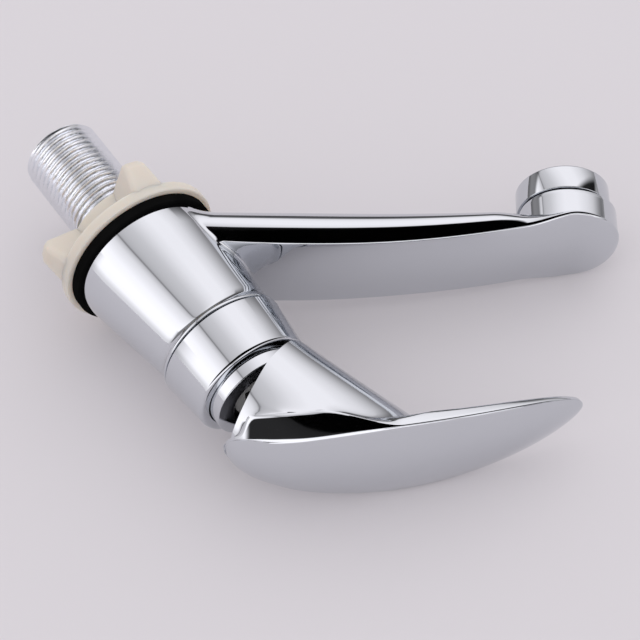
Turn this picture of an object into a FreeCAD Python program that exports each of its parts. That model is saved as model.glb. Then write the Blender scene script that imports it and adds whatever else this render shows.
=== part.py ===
import FreeCAD, Part
import math
import os
import Sketcher

# A single-lever pillar tap for a wash basin, standing upright.
# +Z is up along the inlet shank, +X runs towards the outlet, and the tap is the same on both
# sides of the XZ plane, apart from its wing nut. The origin is the centre of the casting's
# base, where it meets the deck.

V = FreeCAD.Vector
doc = FreeCAD.newDocument("pillar_tap")
sheet = doc.addObject("Spreadsheet::Sheet", "Sizes")

# Every size that can be set by itself, in millimetres, degrees or whole counts.
SIZES = {
    # inlet shank, a G 1/2 parallel pipe thread, and the washer above it
    "thread_crest_radius": 10.4775, "thread_pitch": 1.814, "thread_depth": 1.16,
    "thread_crest_flat": 0.15, "thread_root_flat": 0.22, "thread_overcut": 0.12,
    "thread_top_gap": 1.2, "shank_length": 42.5, "shank_bore_radius": 7.4,
    "shank_end_bevel": 1.0, "socket_depth": 8.0, "socket_clearance": 0.08,
    "shank_washer_height": 1.5,
    # casting: trunk, flared top, recess in the underside
    "base_radius": 19.25, "trunk_height": 31.0, "trunk_top_radius": 16.1,
    "flare_height": 2.2, "flare_radius": 17.0, "cartridge_offset": 1.8,
    "recess_inner_radius": 13.2, "recess_outer_radius": 16.8, "recess_depth": 5.0,
    # casting: spout, laid out along its straight rise from the root
    "spout_rise": 34.6, "spout_start_reach": 24.3, "spout_start_height": 7.4,
    "spout_length": 83.6, "spout_arch_top": 11.7, "spout_arch_place": 14.7,
    "spout_arch_radius": 274.0, "spout_belly": 3.3, "spout_crown": 1.0,
    "spout_root_half_width": 12.7, "spout_waist_half_width": 11.8, "spout_wall": 2.3,
    "tip_radius": 13.7, "tip_height": 1.6, "tip_wall": 0.7,
    # casting: outlet boss
    "boss_radius": 11.8, "boss_length": 6.4, "outlet_bore_radius": 10.6,
    "outlet_seat_depth": 5.8, "throat_radius": 7.6,
    # gasket and wing nut
    "gasket_radius": 20.4, "gasket_height": 2.6, "gasket_clearance": 0.3,
    "nut_flange_radius": 21.8, "nut_flange_height": 3.0, "nut_hub_radius": 13.6,
    "nut_height": 11.2, "nut_thread_clearance": 0.12, "wing_reach": 23.6, "wing_width": 6.0,
    "wing_count": 4, "wing_turn": 74.0,
    # water ways under the cartridge
    "chamber_radius": 12.6, "chamber_floor": 16.0, "cartridge_clearance": 0.1,
    "port_spacing": 2.7, "port_radius": 1.4, "port_seal_height": 1.4, "port_seal_width": 0.9,
    "port_seal_clearance": 0.1, "seal_gap": 0.4, "cross_way_radius": 2.4,
    "cross_way_height": 12.6,
    # cartridge
    "base_plate_height": 4.6, "fixed_disc_height": 3.0, "moving_disc_height": 3.0,
    "moving_disc_radius": 6.2, "disc_slot_back": 5.0, "disc_slot_front": 2.2,
    "disc_slot_width": 3.6, "disc_slot_depth": 1.6, "housing_bore_radius": 9.0,
    "housing_neck_radius": 10.4, "shoulder_height": 28.0, "housing_lip": 2.0,
    "carrier_plate_height": 3.0, "carrier_socket_radius": 4.2, "guide_neck_radius": 7.2,
    "guide_neck_height": 6.5, "guide_pin_cover": 4.0, "guide_flange_radius": 8.8,
    "guide_flange_height": 2.8, "guide_clearance": 0.1, "guide_seal_section": 0.9,
    "ring_seal_clearance": 0.05,
    # lever spindle and its pivot pin
    "pivot_height": 46.0, "pin_radius": 1.25, "pin_inset": 0.3, "pin_clearance": 0.05,
    "pin_press_gap": 0.02, "ball_radius": 2.4, "ball_clearance": 0.1, "arm_length": 11.5,
    "arm_radius": 1.7, "spindle_side": 6.4, "spindle_drop": 2.2, "spindle_reach": 20.5,
    "spindle_lean": 12.5, "slot_clearance": 0.25,
    # retaining nut, grip ring, collar and neck ring
    "nut_thread_radius": 14.0, "nut_thread_height": 8.0, "ring_nut_radius": 13.2,
    "ring_nut_cover": 1.1, "spanner_slot_width": 3.0, "spanner_slot_depth": 2.0,
    "spanner_slot_count": 4, "grip_ring_drop": 3.6, "grip_ring_section": 1.8,
    "collar_gap": 0.4, "collar_lip_gap": 0.2, "collar_base_radius": 17.1,
    "collar_top_radius": 15.8, "collar_bore_radius": 14.4, "collar_edge_round": 1.2,
    "collar_lip": 2.0, "neck_radius": 13.0, "neck_height": 5.7, "neck_foot_height": 0.6,
    "neck_clearance": 0.3,
    # lever handle
    "skirt_radius": 16.2, "skirt_gap": 1.0, "relief_start": 2.3, "relief_rise": 3.7,
    "relief_angle": 26.0, "shell_height": 37.6, "shell_front": 30.6,
    "shell_half_width": 11.2, "blade_join_rise": 28.3, "blade_join_angle": 33.0,
    "blade_front_radius": 153.0, "blade_front_length": 69.5, "blade_rear_radius": 42.0,
    "blade_rear_length": 21.0, "blade_widest": 21.5, "blade_half_width": 15.0,
    "blade_crown": 3.0, "blade_root_edge": 3.9, "blade_tip_edge": 1.0, "blade_belly": 1.5,
    "crown_cover": 0.4, "cut_overrun": 6.0,
    "cavity_radius": 14.2, "cavity_height": 8.8, "lever_socket_clearance": 0.1,
    "lever_socket_gap": 0.4, "set_screw_height": 16.8, "set_screw_radius": 2.5,
    "set_screw_length": 7.0, "set_screw_point_radius": 1.5,
    "set_screw_point_height": 1.0, "set_screw_key": 2.5, "set_screw_key_depth": 2.6,
    "set_screw_clearance": 0.05, "plug_radius": 2.8, "plug_depth": 1.6,
    "plug_stem_radius": 2.2, "plug_stem_length": 3.0, "plug_proud": 0.4, "plug_dome": 0.5,
    "plug_flat_radius": 1.4,
    "plug_clearance": 0.06,
    # aerator
    "aerator_radius": 12.2, "aerator_height": 7.4, "aerator_gap": 0.3,
    "aerator_thread_gap": 0.1, "aerator_bore_radius": 9.5, "aerator_lip_radius": 8.5,
    "aerator_lip_height": 1.0, "aerator_edge_round": 0.7, "aerator_washer_height": 1.4,
    "core_clearance": 0.1, "core_height": 7.6, "core_hole_radius": 0.8,
    "core_hole_ring": 5.8, "core_hole_count": 12, "core_hub_radius": 2.2,
    "core_space_radius": 7.8, "core_space_height": 4.6,
    "screen_height": 0.6, "screen_hole_radius": 0.45, "screen_hole_spacing": 1.9,
    "screen_ring_count": 4, "screen_added_hole_count": 6,
}


class Measure:
    """A size in the sheet, or one worked out from others: its value and the formula for it."""

    def __init__(self, value, formula):
        self.value = value
        self.formula = formula

    def combine(self, sign, other, value):
        return Measure(value, f"({self.formula} {sign} {other.formula})")

    def __add__(self, other):
        other = measure(other)
        return self.combine("+", other, self.value + other.value)

    def __sub__(self, other):
        other = measure(other)
        return self.combine("-", other, self.value - other.value)

    def __mul__(self, other):
        other = measure(other)
        return self.combine("*", other, self.value * other.value)

    def __truediv__(self, other):
        other = measure(other)
        return self.combine("/", other, self.value / other.value)

    def __radd__(self, other):
        return measure(other) + self

    def __rsub__(self, other):
        return measure(other) - self

    def __rmul__(self, other):
        return measure(other) * self

    def __neg__(self):
        return measure(0) - self


def measure(thing):
    return thing if isinstance(thing, Measure) else Measure(float(thing), repr(float(thing)))


def sine(angle):
    angle = measure(angle)
    return Measure(math.sin(math.radians(angle.value)), f"sin({angle.formula})")


def cosine(angle):
    angle = measure(angle)
    return Measure(math.cos(math.radians(angle.value)), f"cos({angle.formula})")


def tangent(angle):
    return sine(angle) / cosine(angle)


def fill_sheet():
    for row, (word, value) in enumerate(SIZES.items(), start=1):
        sheet.set(f"A{row}", word)
        sheet.set(f"B{row}", str(value))
        sheet.setAlias(f"B{row}", word)
    doc.recompute()
    return {word: Measure(float(value), f"Sizes.{word}") for word, value in SIZES.items()}


SIZE = fill_sheet()
PIECES = []


def size(word):
    return SIZE[word]


def bind(thing, prop, amount):
    """Ties a property to the sheet."""
    thing.setExpression(prop, measure(amount).formula)


def new_body(label, reach=0.0, height=0.0, turn=0.0):
    """A piece of the tap. Its own frame lies at (reach, 0, height), turned about Y."""
    body = doc.addObject("PartDesign::Body", label)
    body.Label = label
    body.Placement = FreeCAD.Placement(V(0, 0, 0), FreeCAD.Rotation(V(0, 1, 0), 1))
    bind(body, "Placement.Base.x", reach)
    bind(body, "Placement.Base.z", height)
    bind(body, "Placement.Rotation.Angle", turn)
    PIECES.append(body)
    return body


def origin_feature(body, role):
    return next(feature for feature in body.Origin.OriginFeatures if feature.Role == role)


def new_sketch(body, name, role, across=0.0, up=0.0, out=0.0, turn=0.0, axis=V(0, 0, 1)):
    """A sketch on an origin plane, shifted and turned in that plane's own directions."""
    sketch = body.newObject("Sketcher::SketchObject", name)
    sketch.AttachmentSupport = (origin_feature(body, role), [""])
    sketch.MapMode = "FlatFace"
    sketch.AttachmentOffset = FreeCAD.Placement(V(0, 0, 0), FreeCAD.Rotation(axis, 1))
    bind(sketch, "AttachmentOffset.Base.x", across)
    bind(sketch, "AttachmentOffset.Base.y", up)
    bind(sketch, "AttachmentOffset.Base.z", out)
    bind(sketch, "AttachmentOffset.Rotation.Angle", turn)
    return sketch


def hold(sketch, kind, geometry, end, amount):
    """Holds a point of the sketch at a measure from the sketch's centre, or a radius."""
    amount = measure(amount)
    if kind == "Radius":
        constraint = Sketcher.Constraint("Radius", geometry, amount.value)
    else:
        constraint = Sketcher.Constraint(kind, -1, 1, geometry, end, amount.value)
    index = sketch.addConstraint(constraint)
    sketch.setExpression(f"Constraints[{index}]", amount.formula)


def bulge_point(start, end, radius, deep=False):
    """The middle of an arc of this radius. A plus radius bulges to the left of the way,
    and a deep arc is more than half a circle."""
    chord = end - start
    from_centre = math.sqrt(radius * radius - chord.Length ** 2 / 4)
    rise = abs(radius) + from_centre if deep else abs(radius) - from_centre
    left = V(-chord.y, chord.x, 0).normalize()
    return (start + end) * 0.5 + left * math.copysign(rise, radius)


def draw_outline(sketch, corners):
    """A closed outline. A corner is two measures. A third is the radius of an arc from it
    to the next corner, and a fourth says whether that arc is deep."""
    points = [V(measure(c[0]).value, measure(c[1]).value, 0) for c in corners]
    first = sketch.GeometryCount
    count = len(corners)
    for i, corner in enumerate(corners):
        start, end = points[i], points[(i + 1) % count]
        if len(corner) > 2:
            middle = bulge_point(start, end, corner[2].value, *corner[3:])
            edge = Part.Arc(start, middle, end)
        else:
            edge = Part.LineSegment(start, end)
        sketch.addGeometry(edge, False)
    # An arc drawn clockwise has its two ends the other way round.
    swapped = [len(c) > 2 and c[2].value > 0 for c in corners]
    for i in range(count):
        after = (i + 1) % count
        sketch.addConstraint(Sketcher.Constraint("Coincident", first + i, 1 if swapped[i] else 2,
                                                 first + after, 2 if swapped[after] else 1))
    for i, corner in enumerate(corners):
        start_end = 2 if swapped[i] else 1
        hold(sketch, "DistanceX", first + i, start_end, corner[0])
        hold(sketch, "DistanceY", first + i, start_end, corner[1])
        if len(corner) > 2:
            radius = corner[2] if corner[2].value > 0 else -corner[2]
            hold(sketch, "Radius", first + i, 0, radius)


def draw_circle(sketch, across, up, radius):
    across, up, radius = measure(across), measure(up), measure(radius)
    circle = Part.Circle(V(across.value, up.value, 0), V(0, 0, 1), radius.value)
    index = sketch.addGeometry(circle, False)
    hold(sketch, "DistanceX", index, 3, across)
    hold(sketch, "DistanceY", index, 3, up)
    hold(sketch, "Radius", index, 0, radius)


def draw_ellipse(sketch, across, half_length, half_width):
    """An ellipse whose long axis lies along the sketch's first direction."""
    centre = V(across.value, 0, 0)
    ellipse = Part.Ellipse(V(across.value + half_length.value, 0, 0),
                           V(across.value, half_width.value, 0), centre)
    index = sketch.addGeometry(ellipse, False)
    sketch.exposeInternalGeometry(index)
    hold(sketch, "DistanceX", index, 3, across)
    hold(sketch, "DistanceY", index, 3, 0)
    hold(sketch, "DistanceX", index + 1, 1, across + half_length)
    hold(sketch, "DistanceY", index + 1, 1, 0)
    hold(sketch, "DistanceY", index + 2, 1, half_width)


def draw_box(sketch, left, right, bottom, top):
    draw_outline(sketch, [(left, bottom), (right, bottom), (right, top), (left, top)])


def draw_hexagon(sketch, across_flats):
    corner = across_flats / math.sqrt(3)
    draw_outline(sketch, [(corner * math.cos(math.radians(60 * i)),
                           corner * math.sin(math.radians(60 * i))) for i in range(6)])


def arc_radius(half_width, rise):
    return (half_width * half_width + rise * rise) / (2 * rise)


def revolve(body, name, sketch, cut=False):
    feature = body.newObject("PartDesign::Groove" if cut else "PartDesign::Revolution", name)
    feature.Profile = sketch
    feature.ReferenceAxis = (sketch, ["V_Axis"])
    feature.Angle = 360.0
    return feature


def turn_profile(body, name, corners, cut=False, **place):
    """Turns an outline of (radius, height) corners about the sketch's upright axis."""
    sketch = new_sketch(body, name + "_outline", "XZ_Plane", **place)
    draw_outline(sketch, corners)
    return revolve(body, name, sketch, cut)


def tube(body, name, inner, outer, bottom, top, cut=False, **place):
    corners = [(inner, bottom), (outer, bottom), (outer, top), (inner, top)]
    return turn_profile(body, name, corners, cut, **place)


def turn_ring(body, name, radius, section, height):
    """A ring seal of round section."""
    sketch = new_sketch(body, name + "_section", "XZ_Plane")
    draw_circle(sketch, radius, height, section / 2)
    return revolve(body, name, sketch)


def extrude(body, name, sketch, length, cut=False, both=False):
    """Pads a sketch along its normal, or cuts it away against its normal."""
    feature = body.newObject("PartDesign::Pocket" if cut else "PartDesign::Pad", name)
    feature.Profile = sketch
    bind(feature, "Length", length)
    feature.Midplane = both
    return feature


def drill(body, name, across, top, radius, depth):
    """A round hole down from a height."""
    sketch = new_sketch(body, name + "_circle", "XY_Plane", out=top)
    draw_circle(sketch, across, 0, radius)
    return extrude(body, name, sketch, depth, cut=True)


def loft(body, name, sketches, cut=False):
    kind = "PartDesign::SubtractiveLoft" if cut else "PartDesign::AdditiveLoft"
    feature = body.newObject(kind, name)
    feature.Profile = sketches[0]
    feature.Sections = [(sketch, [""]) for sketch in sketches[1:]]
    feature.Ruled = False
    return feature


def repeat_round(body, name, feature, count):
    pattern = body.newObject("PartDesign::PolarPattern", name)
    pattern.Originals = [feature]
    pattern.Axis = (origin_feature(body, "Z_Axis"), [""])
    pattern.Angle = 360.0
    bind(pattern, "Occurrences", count)
    body.Tip = pattern
    return pattern


# Heights and places that several pieces share, and how far a cut runs past an open face.
OVERCUT = 1.0
OFFSET = size("cartridge_offset")
WASHER_TOP = size("socket_depth") + size("shank_washer_height")
CASTING_TOP = size("trunk_height") + size("flare_height")
CARTRIDGE_RADIUS = size("chamber_radius") - size("cartridge_clearance")
BASE_PLATE_BOTTOM = size("chamber_floor") + size("seal_gap")
BASE_PLATE_TOP = BASE_PLATE_BOTTOM + size("base_plate_height")
FIXED_DISC_TOP = BASE_PLATE_TOP + size("fixed_disc_height")
MOVING_DISC_TOP = FIXED_DISC_TOP + size("moving_disc_height")
SLIDE_SHIFT = size("arm_length") * sine(size("spindle_lean"))
SEAL_INNER = size("port_radius") + size("port_seal_clearance")
SEAL_OUTER = SEAL_INNER + size("port_seal_width")
GUIDE_TOP = size("pivot_height") + size("guide_pin_cover")
HOUSING_TOP = GUIDE_TOP - size("guide_neck_height")
GUIDE_FLANGE_TOP = HOUSING_TOP - size("housing_lip")
RING_NUT_TOP = HOUSING_TOP + size("ring_nut_cover")
GRIP_RING_HEIGHT = RING_NUT_TOP - size("spanner_slot_depth") - size("grip_ring_drop")
NECK_FOOT_TOP = RING_NUT_TOP + size("neck_foot_height")
COLLAR_BOTTOM = CASTING_TOP + size("collar_gap")
COLLAR_TOP = NECK_FOOT_TOP + size("collar_lip_gap") + size("collar_lip")
SKIRT_BOTTOM = COLLAR_TOP + size("skirt_gap")
BOSS_END = -size("boss_length")
OUTLET_SEAT = BOSS_END + size("outlet_seat_depth")
AERATOR_TOP = OUTLET_SEAT - size("aerator_washer_height")
AERATOR_SHOULDER = BOSS_END - size("aerator_gap")
AERATOR_END = AERATOR_SHOULDER - size("aerator_height")
NUT_TOP = -size("gasket_height")
NUT_BOTTOM = NUT_TOP - size("nut_height")


# Casting. Places along the spout are shares of its length from root to outlet axis, and those
# of the tip are shares of its radius beyond that axis.
WAIST_SHARE = 0.6
FLARE_SHARE = 0.78
SPOUT_SHARES = (-0.14, 0.0, 0.15, 0.3, 0.45, 0.6, 0.78, 0.9, 1.0)
DUCT_SHARES = (-0.01, 0.25, 0.5, 0.75, 1.0)
TIP_SHARES = (0.0, 0.3, 0.55, 0.75, 0.88, 0.96, 0.99)

def spout_place(along, above):
    """Reach and height of a point given along the spout and above its straight line."""
    rise_cos, rise_sin = cosine(size("spout_rise")), sine(size("spout_rise"))
    reach = size("spout_start_reach") + along * rise_cos - above * rise_sin
    height = size("spout_start_height") + along * rise_sin + above * rise_cos
    return reach, height


def spout_edge(along):
    """Height of the spout's upper edge above its straight line."""
    run = along - size("spout_arch_place")
    return size("spout_arch_top") - run * run / (2 * size("spout_arch_radius"))


def spout_section(body, name, along, edge, bottom, half_width, crown):
    """A section across the spout: a low crown above its two edges and a deep belly below."""
    reach, height = spout_place(along, edge)
    sketch = new_sketch(body, name, "YZ_Plane", up=height, out=reach,
                        turn=-size("spout_rise"), axis=V(1, 0, 0))
    drop = edge - bottom
    deep = drop.value > half_width.value
    draw_outline(sketch, [(half_width, 0, -arc_radius(half_width, crown)),
                          (-half_width, 0, -arc_radius(half_width, drop), deep)])
    return sketch


def spout_sections(body, prefix, inset, shares):
    """Sections at shares of the way to the outlet, each moved inwards by the inset."""
    root, waist = size("spout_root_half_width"), size("spout_waist_half_width")
    sections = []
    for i, share in enumerate(shares):
        along = size("spout_length") * share
        waisted = math.sin(math.pi / 2 * min(1.0, max(0.0, share) / WAIST_SHARE)) ** 2
        flared = max(0.0, (share - FLARE_SHARE) / (1 - FLARE_SHARE)) ** 2
        half_width = root + (waist - root) * waisted + (size("tip_radius") - waist) * flared
        sections.append(spout_section(body, f"{prefix}_{i}", along, spout_edge(along) - inset,
                                      inset - size("spout_belly"), half_width - inset,
                                      size("spout_crown")))
    return sections


def tip_section(body, name, share):
    """A section of the rounded tip, at a share of its radius beyond the outlet's axis."""
    shrink = math.sqrt(1 - share * share)
    middle = size("tip_height")
    edge = middle + (spout_edge(size("spout_length")) - middle) * shrink
    bottom = middle - (middle + size("spout_belly")) * shrink
    along = size("spout_length") + size("tip_radius") * share
    return spout_section(body, name, along, edge, bottom, size("tip_radius") * shrink,
                         size("spout_crown") * shrink)


def make_casting():
    """Trunk and spout in one hollow casting, with the outlet boss under the tip."""
    body = new_body("body_casting")
    base = new_sketch(body, "base_circle", "XY_Plane")
    draw_circle(base, 0, 0, size("base_radius"))
    top = new_sketch(body, "trunk_top_circle", "XY_Plane", out=size("trunk_height"))
    draw_circle(top, OFFSET, 0, size("trunk_top_radius"))
    loft(body, "trunk", [base, top])
    flare_bottom = size("trunk_height") - size("flare_height") / 2
    turn_profile(body, "flared_top", [
        (0, flare_bottom), (size("trunk_top_radius"), flare_bottom),
        (size("trunk_top_radius"), size("trunk_height")),
        (size("flare_radius"), CASTING_TOP - size("flare_height") / 4),
        (size("flare_radius"), CASTING_TOP), (0, CASTING_TOP)], across=OFFSET)

    loft(body, "spout", spout_sections(body, "spout_section", 0.0, SPOUT_SHARES))
    loft(body, "tip", [tip_section(body, f"tip_section_{i}", share)
                       for i, share in enumerate(TIP_SHARES)])
    outlet_reach, outlet_height = spout_place(size("spout_length"), 0)
    outlet = dict(across=outlet_reach, up=outlet_height, turn=size("spout_rise"))
    tube(body, "outlet_boss", 0, size("boss_radius"), BOSS_END, size("tip_height"), **outlet)

    # The spout's root stops level with the base.
    foot = new_sketch(body, "foot_box", "XY_Plane")
    draw_box(foot, -2 * size("base_radius"), 4 * size("base_radius"),
             -2 * size("base_radius"), 2 * size("base_radius"))
    extrude(body, "foot_cut", foot, 2 * size("base_radius"), cut=True)
    tube(body, "underside_recess", size("recess_inner_radius"), size("recess_outer_radius"),
         -OVERCUT, size("recess_depth"), cut=True)
    tube(body, "shank_socket", 0, size("thread_crest_radius") + size("socket_clearance"),
         -OVERCUT, WASHER_TOP, cut=True)

    floor = size("chamber_floor")
    nut_bore = size("nut_thread_radius") + size("cartridge_clearance")
    turn_profile(body, "cartridge_chamber", [
        (0, floor), (size("chamber_radius"), floor),
        (size("chamber_radius"), size("shoulder_height")), (nut_bore, size("shoulder_height")),
        (nut_bore, CASTING_TOP + OVERCUT), (0, CASTING_TOP + OVERCUT)], cut=True, across=OFFSET)
    above = floor + OVERCUT
    drill(body, "inlet_port", OFFSET - size("port_spacing"), above, size("port_radius"),
          above - WASHER_TOP + OVERCUT)
    drill(body, "outlet_port", OFFSET + size("port_spacing"), above, size("port_radius"),
          above - size("cross_way_height"))

    loft(body, "spout_duct", spout_sections(body, "duct_section", size("spout_wall"),
                                            DUCT_SHARES), cut=True)
    cross = new_sketch(body, "cross_way_circle", "YZ_Plane", out=size("spout_start_reach"))
    draw_circle(cross, 0, size("cross_way_height"), size("cross_way_radius"))
    extrude(body, "cross_way", cross,
            size("spout_start_reach") - OFFSET - size("port_spacing"), cut=True)
    throat_top = spout_edge(size("spout_length")) - size("tip_wall")
    turn_profile(body, "outlet_bore", [
        (0, BOSS_END - OVERCUT), (size("outlet_bore_radius"), BOSS_END - OVERCUT),
        (size("outlet_bore_radius"), OUTLET_SEAT), (size("throat_radius"), OUTLET_SEAT),
        (size("throat_radius"), throat_top), (0, throat_top)], cut=True, **outlet)


# Inlet side: shank, washer, gasket and wing nut.

def make_shank():
    """A hollow threaded shank, screwed up into the casting's socket."""
    body = new_body("inlet_shank")
    crest, bottom = size("thread_crest_radius"), -size("shank_length")
    bevel = size("shank_end_bevel")
    turn_profile(body, "shank_tube", [
        (size("shank_bore_radius"), bottom), (crest - bevel, bottom), (crest, bottom + bevel),
        (crest, size("socket_depth")), (size("shank_bore_radius"), size("socket_depth"))])
    thread = new_sketch(body, "thread_section", "XZ_Plane", up=bottom - size("thread_pitch"))
    mouth, outside = (size("thread_pitch") - size("thread_crest_flat")) / 2, size("thread_overcut")
    root, floor = size("thread_root_flat") / 2, crest - size("thread_depth")
    draw_outline(thread, [(crest + outside, -mouth), (crest + outside, mouth),
                          (floor, root), (floor, -root)])
    helix = body.newObject("PartDesign::SubtractiveHelix", "thread_groove")
    helix.Profile = thread
    helix.ReferenceAxis = (thread, ["V_Axis"])
    helix.Mode = "pitch-height-angle"
    bind(helix, "Pitch", size("thread_pitch"))
    bind(helix, "Height", size("shank_length") + size("thread_pitch") - size("thread_top_gap"))
    helix.LeftHanded = False
    helix.Reversed = False


def make_shank_washer():
    body = new_body("shank_washer")
    tube(body, "washer", size("shank_bore_radius") + size("gasket_clearance"),
         size("thread_crest_radius") - size("socket_clearance"), size("socket_depth"), WASHER_TOP)


def make_gasket():
    body = new_body("base_gasket")
    tube(body, "gasket", size("thread_crest_radius") + size("gasket_clearance"),
         size("gasket_radius"), NUT_TOP, 0)


def make_wing_nut():
    """A plastic nut with a round flange and four wings for the fingers."""
    body = new_body("wing_backnut")
    bore = size("thread_crest_radius") + size("nut_thread_clearance")
    flange_bottom = NUT_TOP - size("nut_flange_height")
    turn_profile(body, "hub_and_flange", [
        (bore, NUT_BOTTOM), (size("nut_hub_radius"), NUT_BOTTOM),
        (size("nut_hub_radius"), flange_bottom), (size("nut_flange_radius"), flange_bottom),
        (size("nut_flange_radius"), NUT_TOP), (bore, NUT_TOP)])
    inside = (bore + size("nut_hub_radius")) / 2
    wing = new_sketch(body, "wing_outline", "XZ_Plane", turn=size("wing_turn"), axis=V(0, 1, 0))
    draw_outline(wing, [(inside, NUT_BOTTOM), (size("wing_reach"), NUT_BOTTOM),
                        (size("nut_flange_radius"), flange_bottom),
                        (size("nut_flange_radius"), flange_bottom + size("nut_flange_height") / 3),
                        (inside, flange_bottom + size("nut_flange_height") / 3)])
    feature = extrude(body, "wing", wing, size("wing_width"), both=True)
    repeat_round(body, "wings", feature, size("wing_count"))


# Cartridge, on its own axis a little in front of the shank's.

def make_port_seal(label, side):
    body = new_body(label, OFFSET + side * size("port_spacing"))
    floor = size("chamber_floor")
    tube(body, "seal", SEAL_INNER, SEAL_OUTER, floor, floor + size("port_seal_height"))


def make_cartridge_base():
    """The base plate: two ports, each with a recess for its seal."""
    body = new_body("cartridge_base", OFFSET)
    tube(body, "plate", 0, CARTRIDGE_RADIUS, BASE_PLATE_BOTTOM, BASE_PLATE_TOP)
    recess_top = size("chamber_floor") + size("port_seal_height")
    for name, side in (("inlet", -1), ("outlet", 1)):
        place = size("port_spacing") * side
        drill(body, name + "_port", place, BASE_PLATE_TOP + OVERCUT, size("port_radius"),
              size("base_plate_height") + 2 * OVERCUT)
        drill(body, name + "_recess", place, recess_top, SEAL_OUTER + size("port_seal_clearance"),
              size("port_seal_height"))


def make_fixed_disc():
    body = new_body("fixed_ceramic_disc", OFFSET)
    tube(body, "disc", 0, size("housing_bore_radius") - size("cartridge_clearance"),
         BASE_PLATE_TOP, FIXED_DISC_TOP)
    for name, side in (("inlet", -1), ("outlet", 1)):
        drill(body, name + "_port", size("port_spacing") * side, FIXED_DISC_TOP + OVERCUT,
              size("port_radius"), size("fixed_disc_height") + 2 * OVERCUT)


def make_moving_disc():
    """The sliding disc. The pocket in its underside joins the two ports when it is open."""
    body = new_body("moving_ceramic_disc", OFFSET - SLIDE_SHIFT)
    tube(body, "disc", 0, size("moving_disc_radius"), FIXED_DISC_TOP, MOVING_DISC_TOP)
    pocket = new_sketch(body, "pocket_outline", "XY_Plane",
                        out=FIXED_DISC_TOP + size("disc_slot_depth"))
    half = size("disc_slot_width") / 2
    draw_box(pocket, -size("disc_slot_back"), size("disc_slot_front"), -half, half)
    extrude(body, "pocket", pocket, size("disc_slot_depth") + OVERCUT, cut=True)


def make_disc_carrier():
    """Drives the moving disc. The lever's ball end works in its socket."""
    body = new_body("disc_carrier", OFFSET - SLIDE_SHIFT)
    plate_top = MOVING_DISC_TOP + size("carrier_plate_height")
    ball_height = size("pivot_height") - size("arm_length")
    socket_radius = size("ball_radius") + size("ball_clearance")
    turn_profile(body, "plate_and_socket", [
        (0, MOVING_DISC_TOP), (size("moving_disc_radius"), MOVING_DISC_TOP),
        (size("moving_disc_radius"), plate_top), (size("carrier_socket_radius"), plate_top),
        (size("carrier_socket_radius"), ball_height + size("ball_radius") / 2),
        (socket_radius, ball_height + size("ball_radius") / 2),
        (socket_radius, ball_height - socket_radius), (0, ball_height - socket_radius)])


def make_housing():
    """The cartridge's shell, with a shoulder that the retaining nut presses down."""
    body = new_body("cartridge_housing", OFFSET)
    hole = size("guide_neck_radius") + size("guide_clearance")
    turn_profile(body, "shell", [
        (size("housing_bore_radius"), BASE_PLATE_TOP), (CARTRIDGE_RADIUS, BASE_PLATE_TOP),
        (CARTRIDGE_RADIUS, size("shoulder_height")),
        (size("housing_neck_radius"), size("shoulder_height")),
        (size("housing_neck_radius"), HOUSING_TOP), (hole, HOUSING_TOP),
        (hole, GUIDE_FLANGE_TOP), (size("housing_bore_radius"), GUIDE_FLANGE_TOP)])


def make_lever_guide():
    """Holds the pivot pin, and has a slot that lets the spindle tilt one way only."""
    body = new_body("lever_guide", OFFSET)
    bottom = GUIDE_FLANGE_TOP - size("guide_flange_height")
    turn_profile(body, "flange_and_neck", [
        (0, bottom), (size("guide_flange_radius"), bottom),
        (size("guide_flange_radius"), GUIDE_FLANGE_TOP),
        (size("guide_neck_radius"), GUIDE_FLANGE_TOP),
        (size("guide_neck_radius"), GUIDE_TOP), (0, GUIDE_TOP)])
    groove_height = (bottom + GUIDE_FLANGE_TOP) / 2
    section = size("guide_seal_section") / 2 + size("ring_seal_clearance")
    groove_radius = size("housing_bore_radius") - 2 * section
    tube(body, "seal_groove", groove_radius, size("housing_bore_radius"),
         groove_height - section, groove_height + section, cut=True)
    rise = GUIDE_TOP - size("pivot_height")
    half_length = (size("spindle_side") / 2 / cosine(size("spindle_lean"))
                   + rise * tangent(size("spindle_lean")) + size("slot_clearance"))
    half_width = size("spindle_side") / 2 + size("slot_clearance")
    slot = new_sketch(body, "slot_outline", "XY_Plane", out=GUIDE_TOP + OVERCUT)
    draw_box(slot, -half_length, half_length, -half_width, half_width)
    extrude(body, "slot", slot, GUIDE_TOP - bottom + 2 * OVERCUT, cut=True)
    pin = new_sketch(body, "pin_circle", "XZ_Plane")
    draw_circle(pin, 0, size("pivot_height"), size("pin_radius") + size("pin_press_gap"))
    extrude(body, "pin_hole", pin, 3 * size("guide_neck_radius"), cut=True, both=True)


def make_guide_seal():
    body = new_body("guide_seal", OFFSET)
    section = size("guide_seal_section")
    radius = size("housing_bore_radius") - size("ring_seal_clearance") - section / 2
    turn_ring(body, "ring", radius, section, GUIDE_FLANGE_TOP - size("guide_flange_height") / 2)


def make_pivot_pin():
    body = new_body("spindle_pivot_pin", OFFSET, size("pivot_height"))
    sketch = new_sketch(body, "pin_circle", "XZ_Plane")
    draw_circle(sketch, 0, 0, size("pin_radius"))
    extrude(body, "pin", sketch, 2 * (size("guide_neck_radius") - size("pin_inset")), both=True)


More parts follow.
